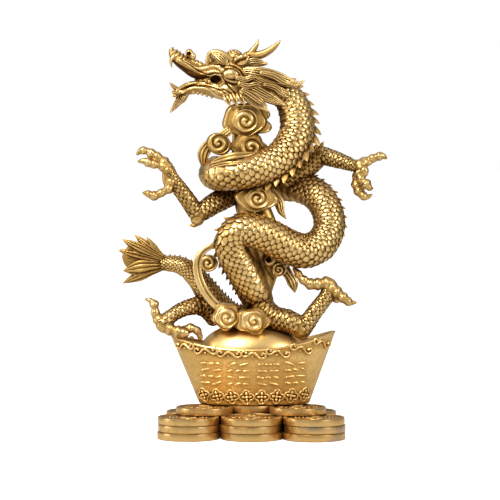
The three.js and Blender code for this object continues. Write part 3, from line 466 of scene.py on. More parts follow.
class Line:
    """A smooth line with a size and an up direction at each step. A station is [x, y, z, radius],
    [x, y, z, half height, half width] or [x, y, z, radius, up x, up y, up z]."""

    def __init__(self, stations, per=8, up=(0, -1, 0)):
        rows = []
        for x, y, z, high, *rest in stations:
            wide, back = (rest[0], up) if len(rest) == 1 else (high, rest or up)
            rows.append([x, y, z, high, wide, *back])
        rows = np.array(rows, float)
        self.at = through(rows[:, :3], per)
        sizes = through(rows[:, 3:5], per, False)
        self.high, self.wide = np.maximum(sizes, THINNEST).T
        self.along = unit(np.gradient(self.at, axis=0))
        back = through(rows[:, 5:8], per, False)
        back = back - self.along * np.sum(back * self.along, 1, keepdims=True)
        self.back = unit(back)
        self.side = np.cross(self.along, self.back)
        steps = np.linalg.norm(np.diff(self.at, axis=0), axis=1)
        self.run = np.concatenate([[0], np.cumsum(steps)])
        carried = self.back[0]
        twist = []
        for along, back in zip(self.along, self.back):
            carried = unit(carried - along * np.dot(carried, along))
            twist.append(math.atan2(np.dot(back, np.cross(along, carried)), np.dot(back, carried)))
        self.twist = np.unwrap(twist)

    def places(self, run, turn, out=0.0):
        """Points on the surface at the distance run and the angle turn from the back, with the way out and
        the way along."""
        def pick(values):
            return np.stack([np.interp(run, self.run, column) for column in values.T], -1)

        back, side = unit(pick(self.back)), unit(pick(self.side))
        radius = np.interp(run, self.run, self.high) + out
        outward = back * np.cos(turn)[:, None] + side * np.sin(turn)[:, None]
        return pick(self.at) + outward * radius[:, None], outward, unit(pick(self.along))


def tube(line, sides=16, thick=1.0, relief=None):
    """A closed tube round a line. relief(run, turn) gives how far the surface stands out, and how bright it
    is kept by wear and painted shade."""
    turn = np.arange(sides) * TAU / sides
    out, worn = (0.0, None) if relief is None else relief(line.run[:, None], turn[None, :])
    high = (line.high[:, None] + out) * thick * np.cos(turn)
    wide = (line.wide[:, None] + out) * np.sin(turn)
    rings = line.at[:, None] + line.back[:, None] * high[..., None] + line.side[:, None] * wide[..., None]
    first = line.at[0] - line.along[0] * line.high[0] * END_BULGE
    last = line.at[-1] + line.along[-1] * line.high[-1] * END_BULGE
    return skin(rings, first, last, worn)


def leaf(stations, grooves, thick, per=7, sides=0, deep=0.3):
    """A pointed lock with grooves along it."""
    line = Line(stations, per)

    def relief(_, turn):
        groove = (0.5 - 0.5 * np.cos(TAU * grooves * 0.5 * (1 + np.sin(turn)))) ** 1.6
        fade = np.clip(line.high / line.high.max() * 1.6, 0, 1)[:, None]
        rim = np.clip(np.abs(np.cos(turn)) / 0.42, 0, 1)
        return -deep * line.high[:, None] * groove * fade * np.abs(np.cos(turn)), (1 - groove * fade) * rim

    return tube(line, sides or max(20, 14 * grooves), thick, relief)


def ball(at, half, around=24, down=14):
    lat = np.linspace(0, math.pi, down + 1)[1:-1, None]
    lon = (np.arange(around) * TAU / around)[None, :]
    rings = np.stack([np.sin(lat) * np.cos(lon), np.sin(lat) * np.sin(lon), -np.cos(lat) + 0 * lon], -1)
    up = np.array([0, 0, half[2]])
    return skin(np.asarray(at) + rings * np.asarray(half), np.asarray(at) - up, np.asarray(at) + up)


# Pieces
PIECES = []
SLOTS = {"dragon": "dragon_brass", "ingot": "ingot_brass", "coin_base": "coin_brass"}


def write_values(mesh, name, values):
    """Gives each point of the mesh a value under the name."""
    attribute = mesh.attributes.new(name, "FLOAT", "POINT")
    attribute.data.foreach_set("value", np.array(values, np.float32))


def mesh_of(name, shape):
    mesh = bpy.data.meshes.new(name)
    mesh.from_pydata((shape.points * MM).tolist(), [], shape.faces.tolist())
    write_values(mesh, "worn", shape.worn)
    return mesh


def place(name, data):
    obj = bpy.data.objects.new(name, data)
    bpy.context.scene.collection.objects.link(obj)
    return obj


def add_piece(name, made, finish, node, sharp):
    """Keeps a mesh, or a list of shapes, as a piece of the ornament that stands for a node."""
    mesh = mesh_of(name, together(made)) if isinstance(made, list) else made
    mesh.name = name
    obj = place(name, mesh)
    mesh.polygons.foreach_set("use_smooth", np.ones(len(mesh.polygons), bool))
    mesh.set_sharp_from_angle(angle=math.radians(sharp))
    PIECES.append({"obj": obj, "finish": finish, "slot": SLOTS[node], "node": node})


def baked(obj):
    """The object's mesh with its modifiers worked out, and the object itself taken away."""
    graph = bpy.context.evaluated_depsgraph_get()
    mesh = bpy.data.meshes.new_from_object(obj.evaluated_get(graph))
    rough = obj.data
    obj.modifiers.clear()
    bpy.data.objects.remove(obj)
    bpy.data.meshes.remove(rough)
    return mesh


def fused(name, shapes, voxel, rounds):
    """The shapes as one smooth cast skin."""
    obj = place(name, mesh_of(name, together(shapes)))
    melt = obj.modifiers.new("melt", "REMESH")
    melt.mode = "VOXEL"
    melt.voxel_size = voxel * MM
    ease = obj.modifiers.new("ease", "SMOOTH")
    ease.factor = 0.5
    ease.iterations = rounds
    return baked(obj)


def numbers(mesh, field, name, width):
    values = np.empty(len(getattr(mesh, field)) * width, np.float32)
    getattr(mesh, field).foreach_get(name, values)
    return values.reshape(-1, width) if width > 1 else values


def triangles(mesh):
    mesh.calc_loop_triangles()
    faces = np.empty(len(mesh.loop_triangles) * 3, np.int32)
    mesh.loop_triangles.foreach_get("vertices", faces)
    return faces.reshape(-1, 3)


def node_maker(tree):
    """A function that adds a node to the tree. An input is a value or a socket to link, and _0 is the first
    input."""
    def linked(kind, settings=(), **inputs):
        node = tree.nodes.new(kind)
        for word, value in dict(settings).items():
            setattr(node, word, value)
        for word, value in inputs.items():
            key = int(word[1:]) if word[0] == "_" else word.replace("_", " ")
            if isinstance(value, bpy.types.NodeSocket):
                tree.links.new(value, node.inputs[key])
            else:
                node.inputs[key].default_value = value
        return node

    return linked


def new_sockets(tree, way, kinds):
    for name, kind in kinds.items():
        tree.interface.new_socket(name, in_out=way, socket_type="NodeSocket" + kind)


# Geometry nodes that set copies of a tile on points
def scatter_tree():
    tree = bpy.data.node_groups.new("set_tiles", "GeometryNodeTree")
    new_sockets(tree, "INPUT", {"Geometry": "Geometry", "Tile": "Object", "Size variation": "Float",
                                "Turn variation": "Float", "Seed": "Int", "Finish": "Material"})
    new_sockets(tree, "OUTPUT", {"Geometry": "Geometry"})
    linked = node_maker(tree)
    given = linked("NodeGroupInput").outputs

    def vector_named(name):
        node = linked("GeometryNodeInputNamedAttribute", {"data_type": "FLOAT_VECTOR"}, Name=name)
        return node.outputs["Attribute"]

    def aligned(axis, pivot, **inputs):
        settings = {"axis": axis, "pivot_axis": pivot}
        return linked("FunctionNodeAlignRotationToVector", settings, **inputs).outputs["Rotation"]

    def varied(amount, seed_step):
        low = linked("ShaderNodeMath", {"operation": "MULTIPLY"}, _0=amount, _1=-1).outputs[0]
        seed = linked("ShaderNodeMath", _0=given["Seed"], _1=seed_step).outputs[0]
        node = linked("FunctionNodeRandomValue", {"data_type": "FLOAT"}, _2=low, _3=amount, Seed=seed)
        return node.outputs[1]

    upright = aligned("Z", "AUTO", Vector=vector_named("facing"))
    turned = aligned("Y", "Z", Vector=vector_named("heading"), Rotation=upright)
    spin = linked("FunctionNodeAxisAngleToRotation", Axis=(0, 0, 1),
                  Angle=varied(given["Turn variation"], 1))
    spun = linked("FunctionNodeRotateRotation", {"rotation_space": "LOCAL"}, Rotation=turned,
                  Rotate_By=spin.outputs[0])
    grow = linked("ShaderNodeMath", _0=varied(given["Size variation"], 2), _1=1)
    sized = linked("ShaderNodeVectorMath", {"operation": "SCALE"}, _0=vector_named("size"),
                   Scale=grow.outputs[0])
    tile = linked("GeometryNodeObjectInfo", Object=given["Tile"])
    copies = linked("GeometryNodeInstanceOnPoints", Points=given["Geometry"],
                    Instance=tile.outputs["Geometry"], Rotation=spun.outputs[0], Scale=sized.outputs[0])
    real = linked("GeometryNodeRealizeInstances", Geometry=copies.outputs["Instances"])
    coated = linked("GeometryNodeSetMaterial", Geometry=real.outputs["Geometry"], Material=given["Finish"])
    linked("NodeGroupOutput", Geometry=coated.outputs["Geometry"])
    return tree


SET_TILES = scatter_tree()


def scattered(name, layout, tile, seed, finish, size_variation=0.0, turn_variation=0.0):
    """Copies of the tile, in millimetres, on a layout of (place, facing, heading, size)."""
    at, *vectors = (np.asarray(v, float).reshape(-1, 3) for v in layout)
    words = ("facing", "heading", "size")
    points = bpy.data.meshes.new(name + "_points")
    points.from_pydata((at * MM).tolist(), [], [])
    for word, values in zip(words, vectors):
        attribute = points.attributes.new(word, "FLOAT_VECTOR", "POINT")
        attribute.data.foreach_set("vector", values.astype(np.float32).reshape(-1))
    shown = place(name + "_tile", mesh_of(name + "_tile", tile))
    host = place(name + "_host", points)
    setter = host.modifiers.new("set_tiles", "NODES")
    setter.node_group = SET_TILES
    given = {"Tile": shown, "Size variation": size_variation, "Turn variation": turn_variation, "Seed": seed,
             "Finish": finish}
    for socket in SET_TILES.interface.items_tree:
        if socket.in_out == "INPUT" and socket.name in given:
            setter[socket.identifier] = given[socket.name]
    mesh = baked(host)
    for word in words:
        if word in mesh.attributes:
            mesh.attributes.remove(mesh.attributes[word])
    bpy.data.objects.remove(shown)
    return mesh


def joined_meshes(name, meshes):
    """Several meshes as one, with their values of wear and painted shade."""
    shapes = []
    for mesh in meshes:
        worn = numbers(mesh.attributes["worn"], "data", "value", 1) if "worn" in mesh.attributes else 1.0
        shapes.append(Shape(numbers(mesh, "vertices", "co", 3) / MM, triangles(mesh), worn))
    return mesh_of(name, together(shapes))


# Tiles
def scale_tile():
    """One fish scale: x across, y towards the tip, z out. Its tip is an arc with a rolled edge."""
    # Each level: share of the way to the tip, height and brightness. The root under the row before and the
    # rolled rim of the tip are painted shade, the dark lines between scales; the raised middle is worn
    # bright
    levels = [(0.0, -0.5, 0.0), (0.24, 0.15, 0.5), (0.5, 0.62, 1.0), (0.88, 1.0, 1.0), (1.0, 0.4, -0.8)]
    columns = [-1, -0.62, 0, 0.62, 1]
    root, tip, arc = -0.7, 1.32, 0.82
    points, worn = [], []
    for share, high, bright in levels:
        for x in columns:
            reach = tip - arc * x * x
            points.append([x * (0.84 + 0.18 * share), root + share * (reach - root), high - 0.5 * x * x])
            worn.append(bright - (0.4 + bright) * abs(x) ** 4)
    faces = []
    wide = len(columns)
    for r in range(len(levels) - 1):
        for c in range(wide - 1):
            a = r * wide + c
            faces += [[a, a + 1, a + wide + 1], [a, a + wide + 1, a + wide]]
    edge = list(range(wide)) + [wide * r + wide - 1 for r in range(1, len(levels))]
    edge += list(range(wide * len(levels) - 2, wide * (len(levels) - 1) - 1, -1))
    edge += [wide * r for r in range(len(levels) - 2, 0, -1)]
    points.append([0, 0.3, -1.3])
    worn.append(0)
    under = len(points) - 1
    faces += [[edge[(i + 1) % len(edge)], edge[i], under] for i in range(len(edge))]
    return Shape(points, faces, worn)


def spine_tile():
    """One thorn of the crest: y towards the tail, z out."""
    levels = [(-0.42, 0.42, 0.3, -0.5, 0.1), (-0.4, 0.46, 0.28, 0.1, 0.8), (-0.12, 0.54, 0.19, 0.52, 1.3),
              (0.22, 0.62, 0.09, 0.86, 1.2)]
    rings = [[[0, rear, z], [-half, (front + rear) / 2, z], [0, front, z], [half, (front + rear) / 2, z]]
             for front, rear, half, z, _ in levels]
    worn = np.array([[level[4]] * 4 for level in levels])
    return skin(np.array(rings)[:, ::-1], [0, 0, -0.8], [0, 0.62, 1.08], worn)


def plump(digit):
    """A toe or finger, with its knuckles."""
    line = Line([[x, y, z, r * TOE_PLUMP] for x, y, z, r in digit], 12)

    def knuckles(run, turn):
        fade = np.clip((line.run[-1] - run) / 5, 0, 1) * np.clip(run / 4, 0, 1)
        swell = KNUCKLE["high"] * line.high[:, None] * fade * np.cos(TAU * run / KNUCKLE["pitch"])
        return swell + 0 * turn, None

    return tube(line, 20, 1.0, knuckles)


def darken_claws(mesh):
    """Leaves the claws' tips darker than the toes."""
    points = numbers(mesh, "vertices", "co", 3) / MM
    away = np.full(len(points), 99.0)
    for digit in DIGITS:
        if digit[-1][3] < CLAW_TIP:
            away = np.minimum(away, np.linalg.norm(points - digit[-1][:3], axis=1))
    write_values(mesh, "worn", TOE_WEAR * np.clip(0.25 + 0.75 * (away - 1.5) / 3, 0.25, 1))


# Body of the dragon
spine_line = Line(BODY, 16)


def station_at(run):
    """Which station of BODY stands at the distance run, with its fraction."""
    return np.interp(run, spine_line.run, np.linspace(0, len(BODY) - 1, len(spine_line.run)))


def body_relief(run, turn):
    """Smooth belly plates that lap towards the tail. The scales stand on the rest."""
    from_belly = (turn + math.pi) % TAU
    from_belly = np.minimum(from_belly, TAU - from_belly)
    pitch = BELLY_PITCH * np.interp(run, spine_line.run, spine_line.high / spine_line.high.max())
    phase = (run / pitch) % 1.0
    plate = np.clip((BELLY_HALF - from_belly) / 0.12, 0, 1)
    lap = 0.75 * phase**0.8 - 0.2
    border = np.exp(-(((from_belly - BELLY_HALF) / 0.09) ** 2))
    # Painted light and shade along the belly plates
    painted_light = np.interp(station_at(run), *np.transpose(BELLY_PAINTED_LIGHT))
    groove = np.clip((phase - 0.06) / 0.12, 0, 1) * np.clip((1 - phase) / 0.06, 0, 1)
    out = plate * lap - 0.55 * (1 - plate) + 0.8 * border
    worn = plate * (0.25 + 0.75 * groove) * painted_light + (1 - plate) * 0.05
    return out, np.maximum(worn, border)


def scale_layout(line, around, pitch, high, skip, start, stop):
    """Rows of scales round a line, each row moved by half a scale, clear of the belly by the angle skip."""
    rows = []
    run = start
    biggest = line.high.max()
    while run < stop:
        local = np.interp(run, line.run, line.high)
        step = pitch * (local / biggest) ** 0.75
        moves = np.array([0, 0.5, -0.5]) * step
        twists = np.interp(run + moves, line.run, line.twist)
        level = (np.arange(around) + 0.5 * (len(rows) % 2)) * TAU / around
        level = level[np.abs(((level - twists[0]) % TAU) - math.pi) > skip]
        (at, outward, _), (ahead, _, _), (behind, _, _) = (
            line.places(np.full(len(level), run + move), level - twist)
            for move, twist in zip(moves, twists))
        length = np.linalg.norm(ahead - behind, axis=1)
        heading = (ahead - behind) / np.maximum(length, 1e-6)[:, None]
        size = np.stack([np.full(len(level), SCALE_OVERLAP * math.pi * local / around),
                         np.maximum(length, 0.35 * step),
                         np.full(len(level), high * (local / biggest) ** 0.5)], 1)
        rows.append((at, outward, heading, size))
        run += step
    return [np.vstack(v) for v in zip(*rows)]


def spine_layout(line, pitch, size, start, stop):
    """Thorns along the back, set closer where the body is thin."""
    def slimness(run):
        return np.interp(run, line.run, line.high / line.high.max()) ** 0.7

    runs = [start]
    while runs[-1] < stop:
        runs.append(runs[-1] + pitch * slimness(runs[-1]))
    runs = np.array(runs)
    at, outward, along = line.places(runs, np.zeros(len(runs)), 0.2)
    scale = np.interp(station_at(runs), *np.transpose(CREST_SIZE)) * slimness(runs)
    return at, outward, along, np.outer(scale, size)


# Head
# Where relief stands that runs off the edge of what it lies on
BESIDE_Y = -6.0


def head_base():
    skull_line = Line(SKULL, 8, (0, 0, 1))

    def nose(run, turn):
        near = np.clip((NOSE_RIDGES["from_x"] - skull_line.at[:, 0]) / 2, 0, 1)[:, None]
        top = np.clip(np.cos(turn) + 0.6, 0, 1)
        return NOSE_RIDGES["high"] * np.cos(TAU * run / NOSE_RIDGES["pitch"]) * near * top, None

    rings = [tube(skull_line, 40, 1.0, nose), tube(Line(JAW, 8, (0, 0, 1)), 36)]
    for at, half in HEAD_BALLS:
        rings += both_sides(ball(at, half)) if at[1] else [ball(at, half)]
    return rings


def side_finder(shapes):
    """A function that gives how far in y the shapes' near side stands at x and z."""
    whole = together(shapes)
    tree = BVHTree.FromPolygons([tuple(p) for p in whole.points], whole.faces.tolist())

    def near_side(x, z):
        hit = tree.ray_cast(Vector((x, -80, z)), Vector((0, 1, 0)))[0]
        return BESIDE_Y if hit is None else hit.y

    return near_side


def head_shapes():
    base = head_base()
    near_side = side_finder(base)
    parts = list(base)
    for ridge in SIDE_RIDGES:
        steps = through(ridge, 4)
        depth = [near_side(x, z) for x, z, _ in steps]
        depth = np.convolve(np.pad(depth, 2, "edge"), np.ones(5) / 5, "valid")
        stations = [[x, y, z, 1.25 * r] for (x, z, r), y in zip(steps, depth)]
        parts += both_sides(tube(Line(stations, 2), 10))
    for x, z, r in JAW_LUMPS:
        parts += both_sides(ball([x, near_side(x, z) + 0.3, z], [r, r, 1.6 * r], 12, 8))
    x, z, r = MOUTH_PEARL
    parts += both_sides(ball([x, near_side(x, z), z], [r, r, r], 14, 10))
    lips = []
    for angle in np.linspace(-2.6, 2.6, 14):
        lean = [1.5 * math.cos(angle), 1.5 * math.sin(angle)]
        x, z = (at + half * way for at, half, way in zip(MOUTH_CORNER["at"], MOUTH_CORNER["half"], lean))
        lips.append([x, near_side(x, z) + 0.2, z, 0.85])
    parts += both_sides(tube(Line(lips, 3), 10))
    parts += both_sides(tube(Line(BROW, 6), 14))
    for x, z in SNOUT_BEADS:
        parts += [ball([x, y, z - 0.09 * y * y], [1.5, 1.5, 1.5], 12, 8) for y in (-3.4, 0, 3.4)]
    crown, half = HEAD_BALLS[0]
    beads = CROWN_BEADS["count"]
    for n in range(beads):
        angle = n * CROWN_BEADS["turn"]
        reach = CROWN_BEADS["spread"] * math.sqrt((n + 0.5) / beads)
        lean = np.array([reach * math.cos(angle), reach * math.sin(angle), math.sqrt(1 - reach**2)])
        parts.append(ball(np.array(crown) + np.array(half) * lean, [CROWN_BEADS["half"]] * 3, 10, 7))
    return parts


def carve_head(mesh):
    """Sinks the corners of the mouth, the nostrils and the cuts into the head, and darkens them with patina
    and painted shade. The roof of the mouth gets painted shade.
    """
    points = numbers(mesh, "vertices", "co", 3).astype(float) / MM
    nostril = HEAD_BALLS[4][0]
    pits = [(MOUTH_CORNER["at"], MOUTH_CORNER["half"], MOUTH_CORNER["depth"]),
            ([nostril[0] - 0.2, nostril[2] - 0.6], [1.3, 1.3], 2)]
    side = points[:, [0, 2]]
    dark = np.zeros(len(points))
    for at, half, depth in pits:
        reach = np.hypot(*((side - at) / half).T)
        sink = depth * np.clip(1.15 - reach**2, 0, 1) ** 0.6
        points[:, 1] -= np.sign(points[:, 1]) * np.minimum(sink, np.abs(points[:, 1]) * 0.8)
        dark = np.maximum(dark, 1.6 * np.clip((1.4 - reach) * 2, 0, 1))
    for cut in HEAD_CUTS:
        away = np.full(len(points), 9.0)
        for step in through(cut, 10):
            away = np.minimum(away, np.hypot(*(side - step).T))
        near_cut = np.exp(-((away / CUT["wide"]) ** 2)) * (np.abs(points[:, 1]) > 2)
        points[:, 1] -= np.sign(points[:, 1]) * CUT["deep"] * near_cut
        dark = np.maximum(dark, near_cut)
    mesh.vertices.foreach_set("co", (points * MM).astype(np.float32).reshape(-1))
    mesh.update()
    x, _, z = points.T
    lip, gum = (np.interp(x, *np.transpose(edge)) for edge in (LIP_LINE, GUM_LINE))
    inside = np.clip(lip - z, 0, 1) * np.clip(z - gum, 0, 1) * (x < LIP_LINE[-1][0])
    # Painted shade in the mouth, the pits and the cuts
    write_values(mesh, "worn", 1 - np.maximum(1.5 * inside, dark))


def horn_relief(run, turn):
    """Flutes that wind round a horn."""
    flute = np.cos(7 * turn + 0.1 * run)
    return -0.13 * (0.5 + 0.5 * flute), 0.55 - 0.45 * flute


def mane_shapes():
    parts = []
    for lock in LOCKS:
        grooves = next(count for size, count in LOCK_GROOVES if lock[1][3] > size)
        parts.append(leaf(to_near_side(lock), grooves, 0.46, deep=0.42))
    parts += [leaf(to_near_side(lock), 2, 0.8, deep=0.4) for lock in OVER_LOCKS]
    parts.append(leaf(to_near_side(LID), 4, 0.4))
    ear = leaf(to_near_side(EAR), 1, 0.5, deep=0.7)
    # The ear's cup is made darker: patina and painted shade inside it
    ear.worn = 1.7 * ear.worn - 0.7
    parts.append(ear)
    parts += [tube(Line(to_near_side(horn), 8), 20, 1.0, horn_relief) for horn in (HORN, HORN_TINE)]
    middle_beard, side_beard = (leaf(to_near_side(beard), 4, 0.6) for beard in BEARD)
    chin = [side_beard] + [leaf(to_near_side(spike), 2, 0.7, sides=20) for spike in CHIN_SPIKES]
    chin.append(tube(Line(to_near_side(FANG), 8), 12))
    return all_on_both_sides(parts) + [middle_beard] + all_on_both_sides(chin)


# Flames and curls that lie on the body
def curl(x, z, size, way, near_side):
    """A small flat spiral raised on the side that faces the front."""
    turn = np.linspace(0, 1.45 * TAU, 18)
    stations = []
    for r, t in zip(size * (1 - turn / turn[-1] * 0.82), turn):
        px, pz = x + r * math.cos(t * way), z + r * math.sin(t * way)
        stations.append([px, near_side(px, pz) + 0.1, pz, 0.75 * (0.6 + 0.4 * r / size)])
    return tube(Line(stations, 3), 10)


def flame_shapes():
    near_side = side_finder([tube(spine_line, 32)])
    return [curl(*spec, near_side) for spec in CURLS] + [leaf(flame, 2, 0.55) for flame in FLAMES]


# Clouds
def cloud(spec, dome=2.2, deep=1.3, around=80, rounds=30):
    """A cloud boss with a rolled edge and a spiral that winds to its heart."""
    theta = np.arange(around) * TAU / around
    circle = np.stack([np.cos(theta), np.sin(theta)], 1)
    swell = 1 + spec["wave"] * np.cos(spec["lobes"] * theta + spec["turn"])
    edge = circle * spec["half"] * swell[:, None]
    heart = np.array(spec.get("heart", [0, 0]), float)
    front, rear = spec["y"]
    dome = spec.get("dome", dome)
    spiral = spec.get("rounds", 0)
    collar = spec.get("collar", 1)
    eye = circle * spec.get("eye", min(spec["half"])) / collar
    rings, worn = [], []

    def level(outline, y, bright):
        rings.append(np.column_stack([outline[:, 0], np.broadcast_to(y, around), outline[:, 1]]))
        worn.append(np.broadcast_to(bright, around))

    level(edge * 0.9, rear, 0.2)
    level(edge * 0.97, rear - 1, 0.3)
    level(edge, front + 2.6, 0.5)
    for share in np.linspace(0.04, 1, rounds)[::-1]:
        apart = np.clip((share - 0.8 * collar) / (1 - 0.8 * collar), 0, 1)
        apart = apart * apart * (3 - 2 * apart)
        roll = 1 - np.clip((share - 0.86) / 0.14, 0, 1) ** 2
        wave = 0.3
        if spiral:
            inward = min(1, share / collar)
            wave = 0.5 + 0.5 * np.cos(TAU * (inward * spiral - spec["way"] * theta / TAU + 0.15))
            heart_share = np.clip(inward / 0.14, 0, 1)
            wave = wave ** 0.8 * heart_share + (1 - heart_share)
            outside = np.clip((share - collar) / 0.06, 0, 1)
            lip_of_collar = math.exp(-(((share - collar) / 0.05) ** 2))
            wave = np.maximum(wave * (1 - outside) + 0.12 * outside, lip_of_collar * (collar < 1))
        rim = math.exp(-(((share - 0.93) / 0.05) ** 2))
        rise = dome * (1 - share**2) + deep * np.maximum(wave, rim) * (0.35 + 0.65 * roll)
        pit = np.clip(2.4 - 5 * share / collar, 0, 1) if "pit" in spec else 0
        y = front + 1.6 * (1 - roll) - rise * (0.25 + 0.75 * roll) + deep * 0.4 + pit * spec.get("pit", 0)
        # The last term adds painted light and shade over the whole cloud
        level((heart + eye * share) * (1 - apart) + edge * 0.985 * share * apart, y,
              0.38 + 0.62 * np.maximum(wave, rim) - 1.8 * pit + spec.get("painted_light", 0))
    x, z = spec["at"]
    last = [x + heart[0], rings[-1][:, 1].mean() - 0.1, z + heart[1]]
    return skin(np.array(rings) + [x, 0, z], [x, rear, z], last, np.array(worn))


def strap_relief(run, turn):
    across = np.sin(turn)
    groove = np.exp(-((across + 0.3) / 0.2) ** 2) * (np.cos(turn) > 0)
    edge = np.exp(-((np.abs(across) - 0.85) / 0.2) ** 2)
    return -1.1 * groove + 0.3 * edge + 0 * run, 1.15 - 1.3 * groove + 0 * run


def trunk_relief(run, turn):
    flute = 0.5 + 0.5 * np.cos(5 * turn + 0.09 * run + 1.3 * np.sin(0.12 * run))
    return -1.1 * flute, 0.15 + 0.75 * (1 - flute)


def cloud_shapes():
    parts = [cloud(spec) for spec in CLOUDS] + [cloud(STRAP_CURL, 0.8, 1.1, 48, 14)]
    parts.append(tube(Line(TRUNK, 10), 44, 0.72, trunk_relief))
    parts.append(tube(Line(STRAP, 10), 32, 0.62, strap_relief))
    return parts + [leaf(pendant, 3, 0.6) for pendant in PENDANTS]


# Tail fan
def tail_shapes():
    parts = [leaf(TAIL_WEB, 8, 1.0, per=10, deep=0.2)]
    for lobe in TAIL_TIPS:
        tip = np.array([lobe["tip"][0], lobe["y"], lobe["tip"][1]])
        root = np.array(TAIL_ROOT) + [0, 0, TAIL_ROOT_SPREAD * (tip[2] - TAIL_ROOT[2])]
        reach = tip - root
        across = np.array([-reach[2], 0, reach[0]]) / np.linalg.norm(reach)
        stations = []
        for share, half in TAIL_LOBE:
            middle = root + reach * share + across * lobe["bow"] * 4 * share * (1 - share)
            stations.append([*middle, lobe["half"] * half])
        parts.append(leaf(stations, 3, 0.5, per=10, deep=0.26))
    for part in parts:
        part.worn *= TAIL_WEAR
    return parts


# Ingot
def rim_height(x):
    out = (x - INGOT["middle_x"]) / INGOT["top_x"]
    return INGOT["rim_low"] + INGOT["rim_rise"] * out**2 + INGOT["tilt"] * x


def wall_length(share):
    """Middle and half length of the ingot at a share of its height."""
    return (INGOT["middle_x"] + (1 - share) * INGOT["shift"],
            INGOT["foot_x"] + (INGOT["top_x"] - INGOT["foot_x"]) * share)


def wall_place(turn, share, inset=0.0, drop=0.0):
    """Places round the ingot's wall at a share of its height."""
    turn = np.asarray(turn, float)
    middle, half_x = wall_length(share)
    half_y = INGOT["foot_y"] + (INGOT["top_y"] - INGOT["foot_y"]) * share ** INGOT["bulge"] - inset
    rim = rim_height(INGOT["middle_x"] + INGOT["top_x"] * np.cos(turn))
    x = middle + (half_x - inset) * np.cos(turn)
    return np.stack([x, half_y * np.sin(turn), INGOT["foot"] + (rim - INGOT["foot"]) * share - drop], -1)


def wall_facing(turn, share):
    step = 0.004
    across = wall_place(turn + step, share) - wall_place(turn - step, share)
    up = wall_place(turn, share + step) - wall_place(turn, share - step)
    return unit(np.cross(across, up)), unit(across), unit(up)


# The ingot's rim, from its outside to its sunk deck: inset, drop and how bright it is kept
RIM_LEVELS = [[-0.05, 0.8, 1], [0.25, 0.12, 1], [0.7, 0, 1], [1.7, 0, 1], [2.2, 0.2, 0.9], [2.5, 0.8, 0.6],
              [3.2, 2.6, 0.3], [4.2, 3.3, 0.2], [8, 3.5, 0.6]]


def ingot_shapes():
    turn = np.arange(144) * TAU / 144
    # The foot and the lower wall are painted darker, as shade and a reflection of the coins below, and the
    # wall is darker behind the bands of relief
    rings = [wall_place(turn, 0, 1.6), wall_place(turn, 0, 0.5), wall_place(turn, 0.02)]
    worn = [0.1, 0.4, 0.9]
    for share in np.linspace(0.04, 0.97, 40):
        rings.append(wall_place(turn, share))
        behind = max(math.exp(-(((share - band["share"]) / 0.075) ** 4)) for band in (SCROLLS, FLOWERS))
        worn.append(0.58 + 0.2 * share - 0.3 * behind)
    for inset, drop, bright in RIM_LEVELS:
        rings.append(wall_place(turn, 1, inset, drop))
        worn.append(bright)
    worn = np.array(worn)[:, None] * np.ones(len(turn))
    foot, deck = ([INGOT["middle_x"], 0, z] for z in (INGOT["foot"], INGOT["rim_low"] - INGOT["deck"]))
    return [skin(np.array(rings), foot, deck, worn), ball(DOME["at"], DOME["half"], 96, 48)]


def scroll_tile():
    """A lazy S with a curl at each end: x across, y up, z out."""
    winding = [[-3.9, 1.2], [-4.5, 2.1], [-5.7, 2], [-6.3, 0.8], [-5.4, -0.5], [-3.6, -0.4], [-1.6, 1],
               [0.2, 1.3], [1.8, 0], [3.4, -1.5], [5.2, -1.8], [6.5, -0.7], [6.2, 0.7], [5, 0.8],
               [4.5, -0.1]]
    sizes = [0.85] + [0.6] * 4 + [0.74] * 6 + [0.6] * 3 + [0.85]
    body = tube(Line([[x, y, 0.1, r] for (x, y), r in zip(winding, sizes)], 4, (0, 0, 1)), 8, 1.1)
    return together([body, ball([-0.6, -0.9, 0], [0.7, 0.7, 0.7], 10, 6)])


def flower_tile():
    """A four petalled flower in a frame of four bows: x across, y up, z out."""
    angles = np.linspace(0, TAU, 41)
    bow = (angles + TAU / 8) % (TAU / 4) - TAU / 8
    reach = 1.6 * np.cos(bow) + np.sqrt(1.35**2 - (1.6 * np.sin(bow)) ** 2)
    bows = [[r * math.cos(a), r * math.sin(a), 0, 0.4] for r, a in zip(reach, angles)]
    parts = [ball([0, 0, 0.2], [0.7, 0.7, 0.7], 12, 8), tube(Line(bows, 1, (0, 0, 1)), 8)]
    for n in range(4):
        c, s = math.cos(n * TAU / 4), math.sin(n * TAU / 4)
        petal = [[r * c, r * s, z, half] for r, z, half in ((0.7, 0, 0.3), (1.4, 0.15, 0.62), (2.2, 0, 0.2))]
        parts.append(tube(Line(petal, 4, (0, 0, 1)), 8, 0.8))
    return together(parts)


def stroke_tile():
    """One shallow stroke, a unit long: x across, z out."""
    stations = [[-0.5, 0, 0, 0.3], [-0.2, 0.03, 0.02, 0.42], [0.2, 0, 0.02, 0.4], [0.5, -0.04, 0, 0.26]]
    return tube(Line(stations, 4, (0, 0, 1)), 8)


def wall_layout(turns, share, size):
    facing, _, up = wall_facing(turns, share)
    return wall_place(turns, share), facing, up, np.tile(size, (len(turns), 1))


def even_turns(row, side):
    """Turns at equal distances along the wall, over a share of its front or its back."""
    turns = math.pi * (0.5 * side + np.linspace(-0.5, 0.5, 240))
    steps = np.linalg.norm(np.diff(wall_place(turns, row["share"]), axis=0), axis=1)
    run = np.concatenate([[0], np.cumsum(steps)])
    shares = 0.5 + row["spread"] * ((np.arange(row["count"]) + 0.5) / row["count"] - 0.5)
    return np.interp(shares * run[-1], run, turns)


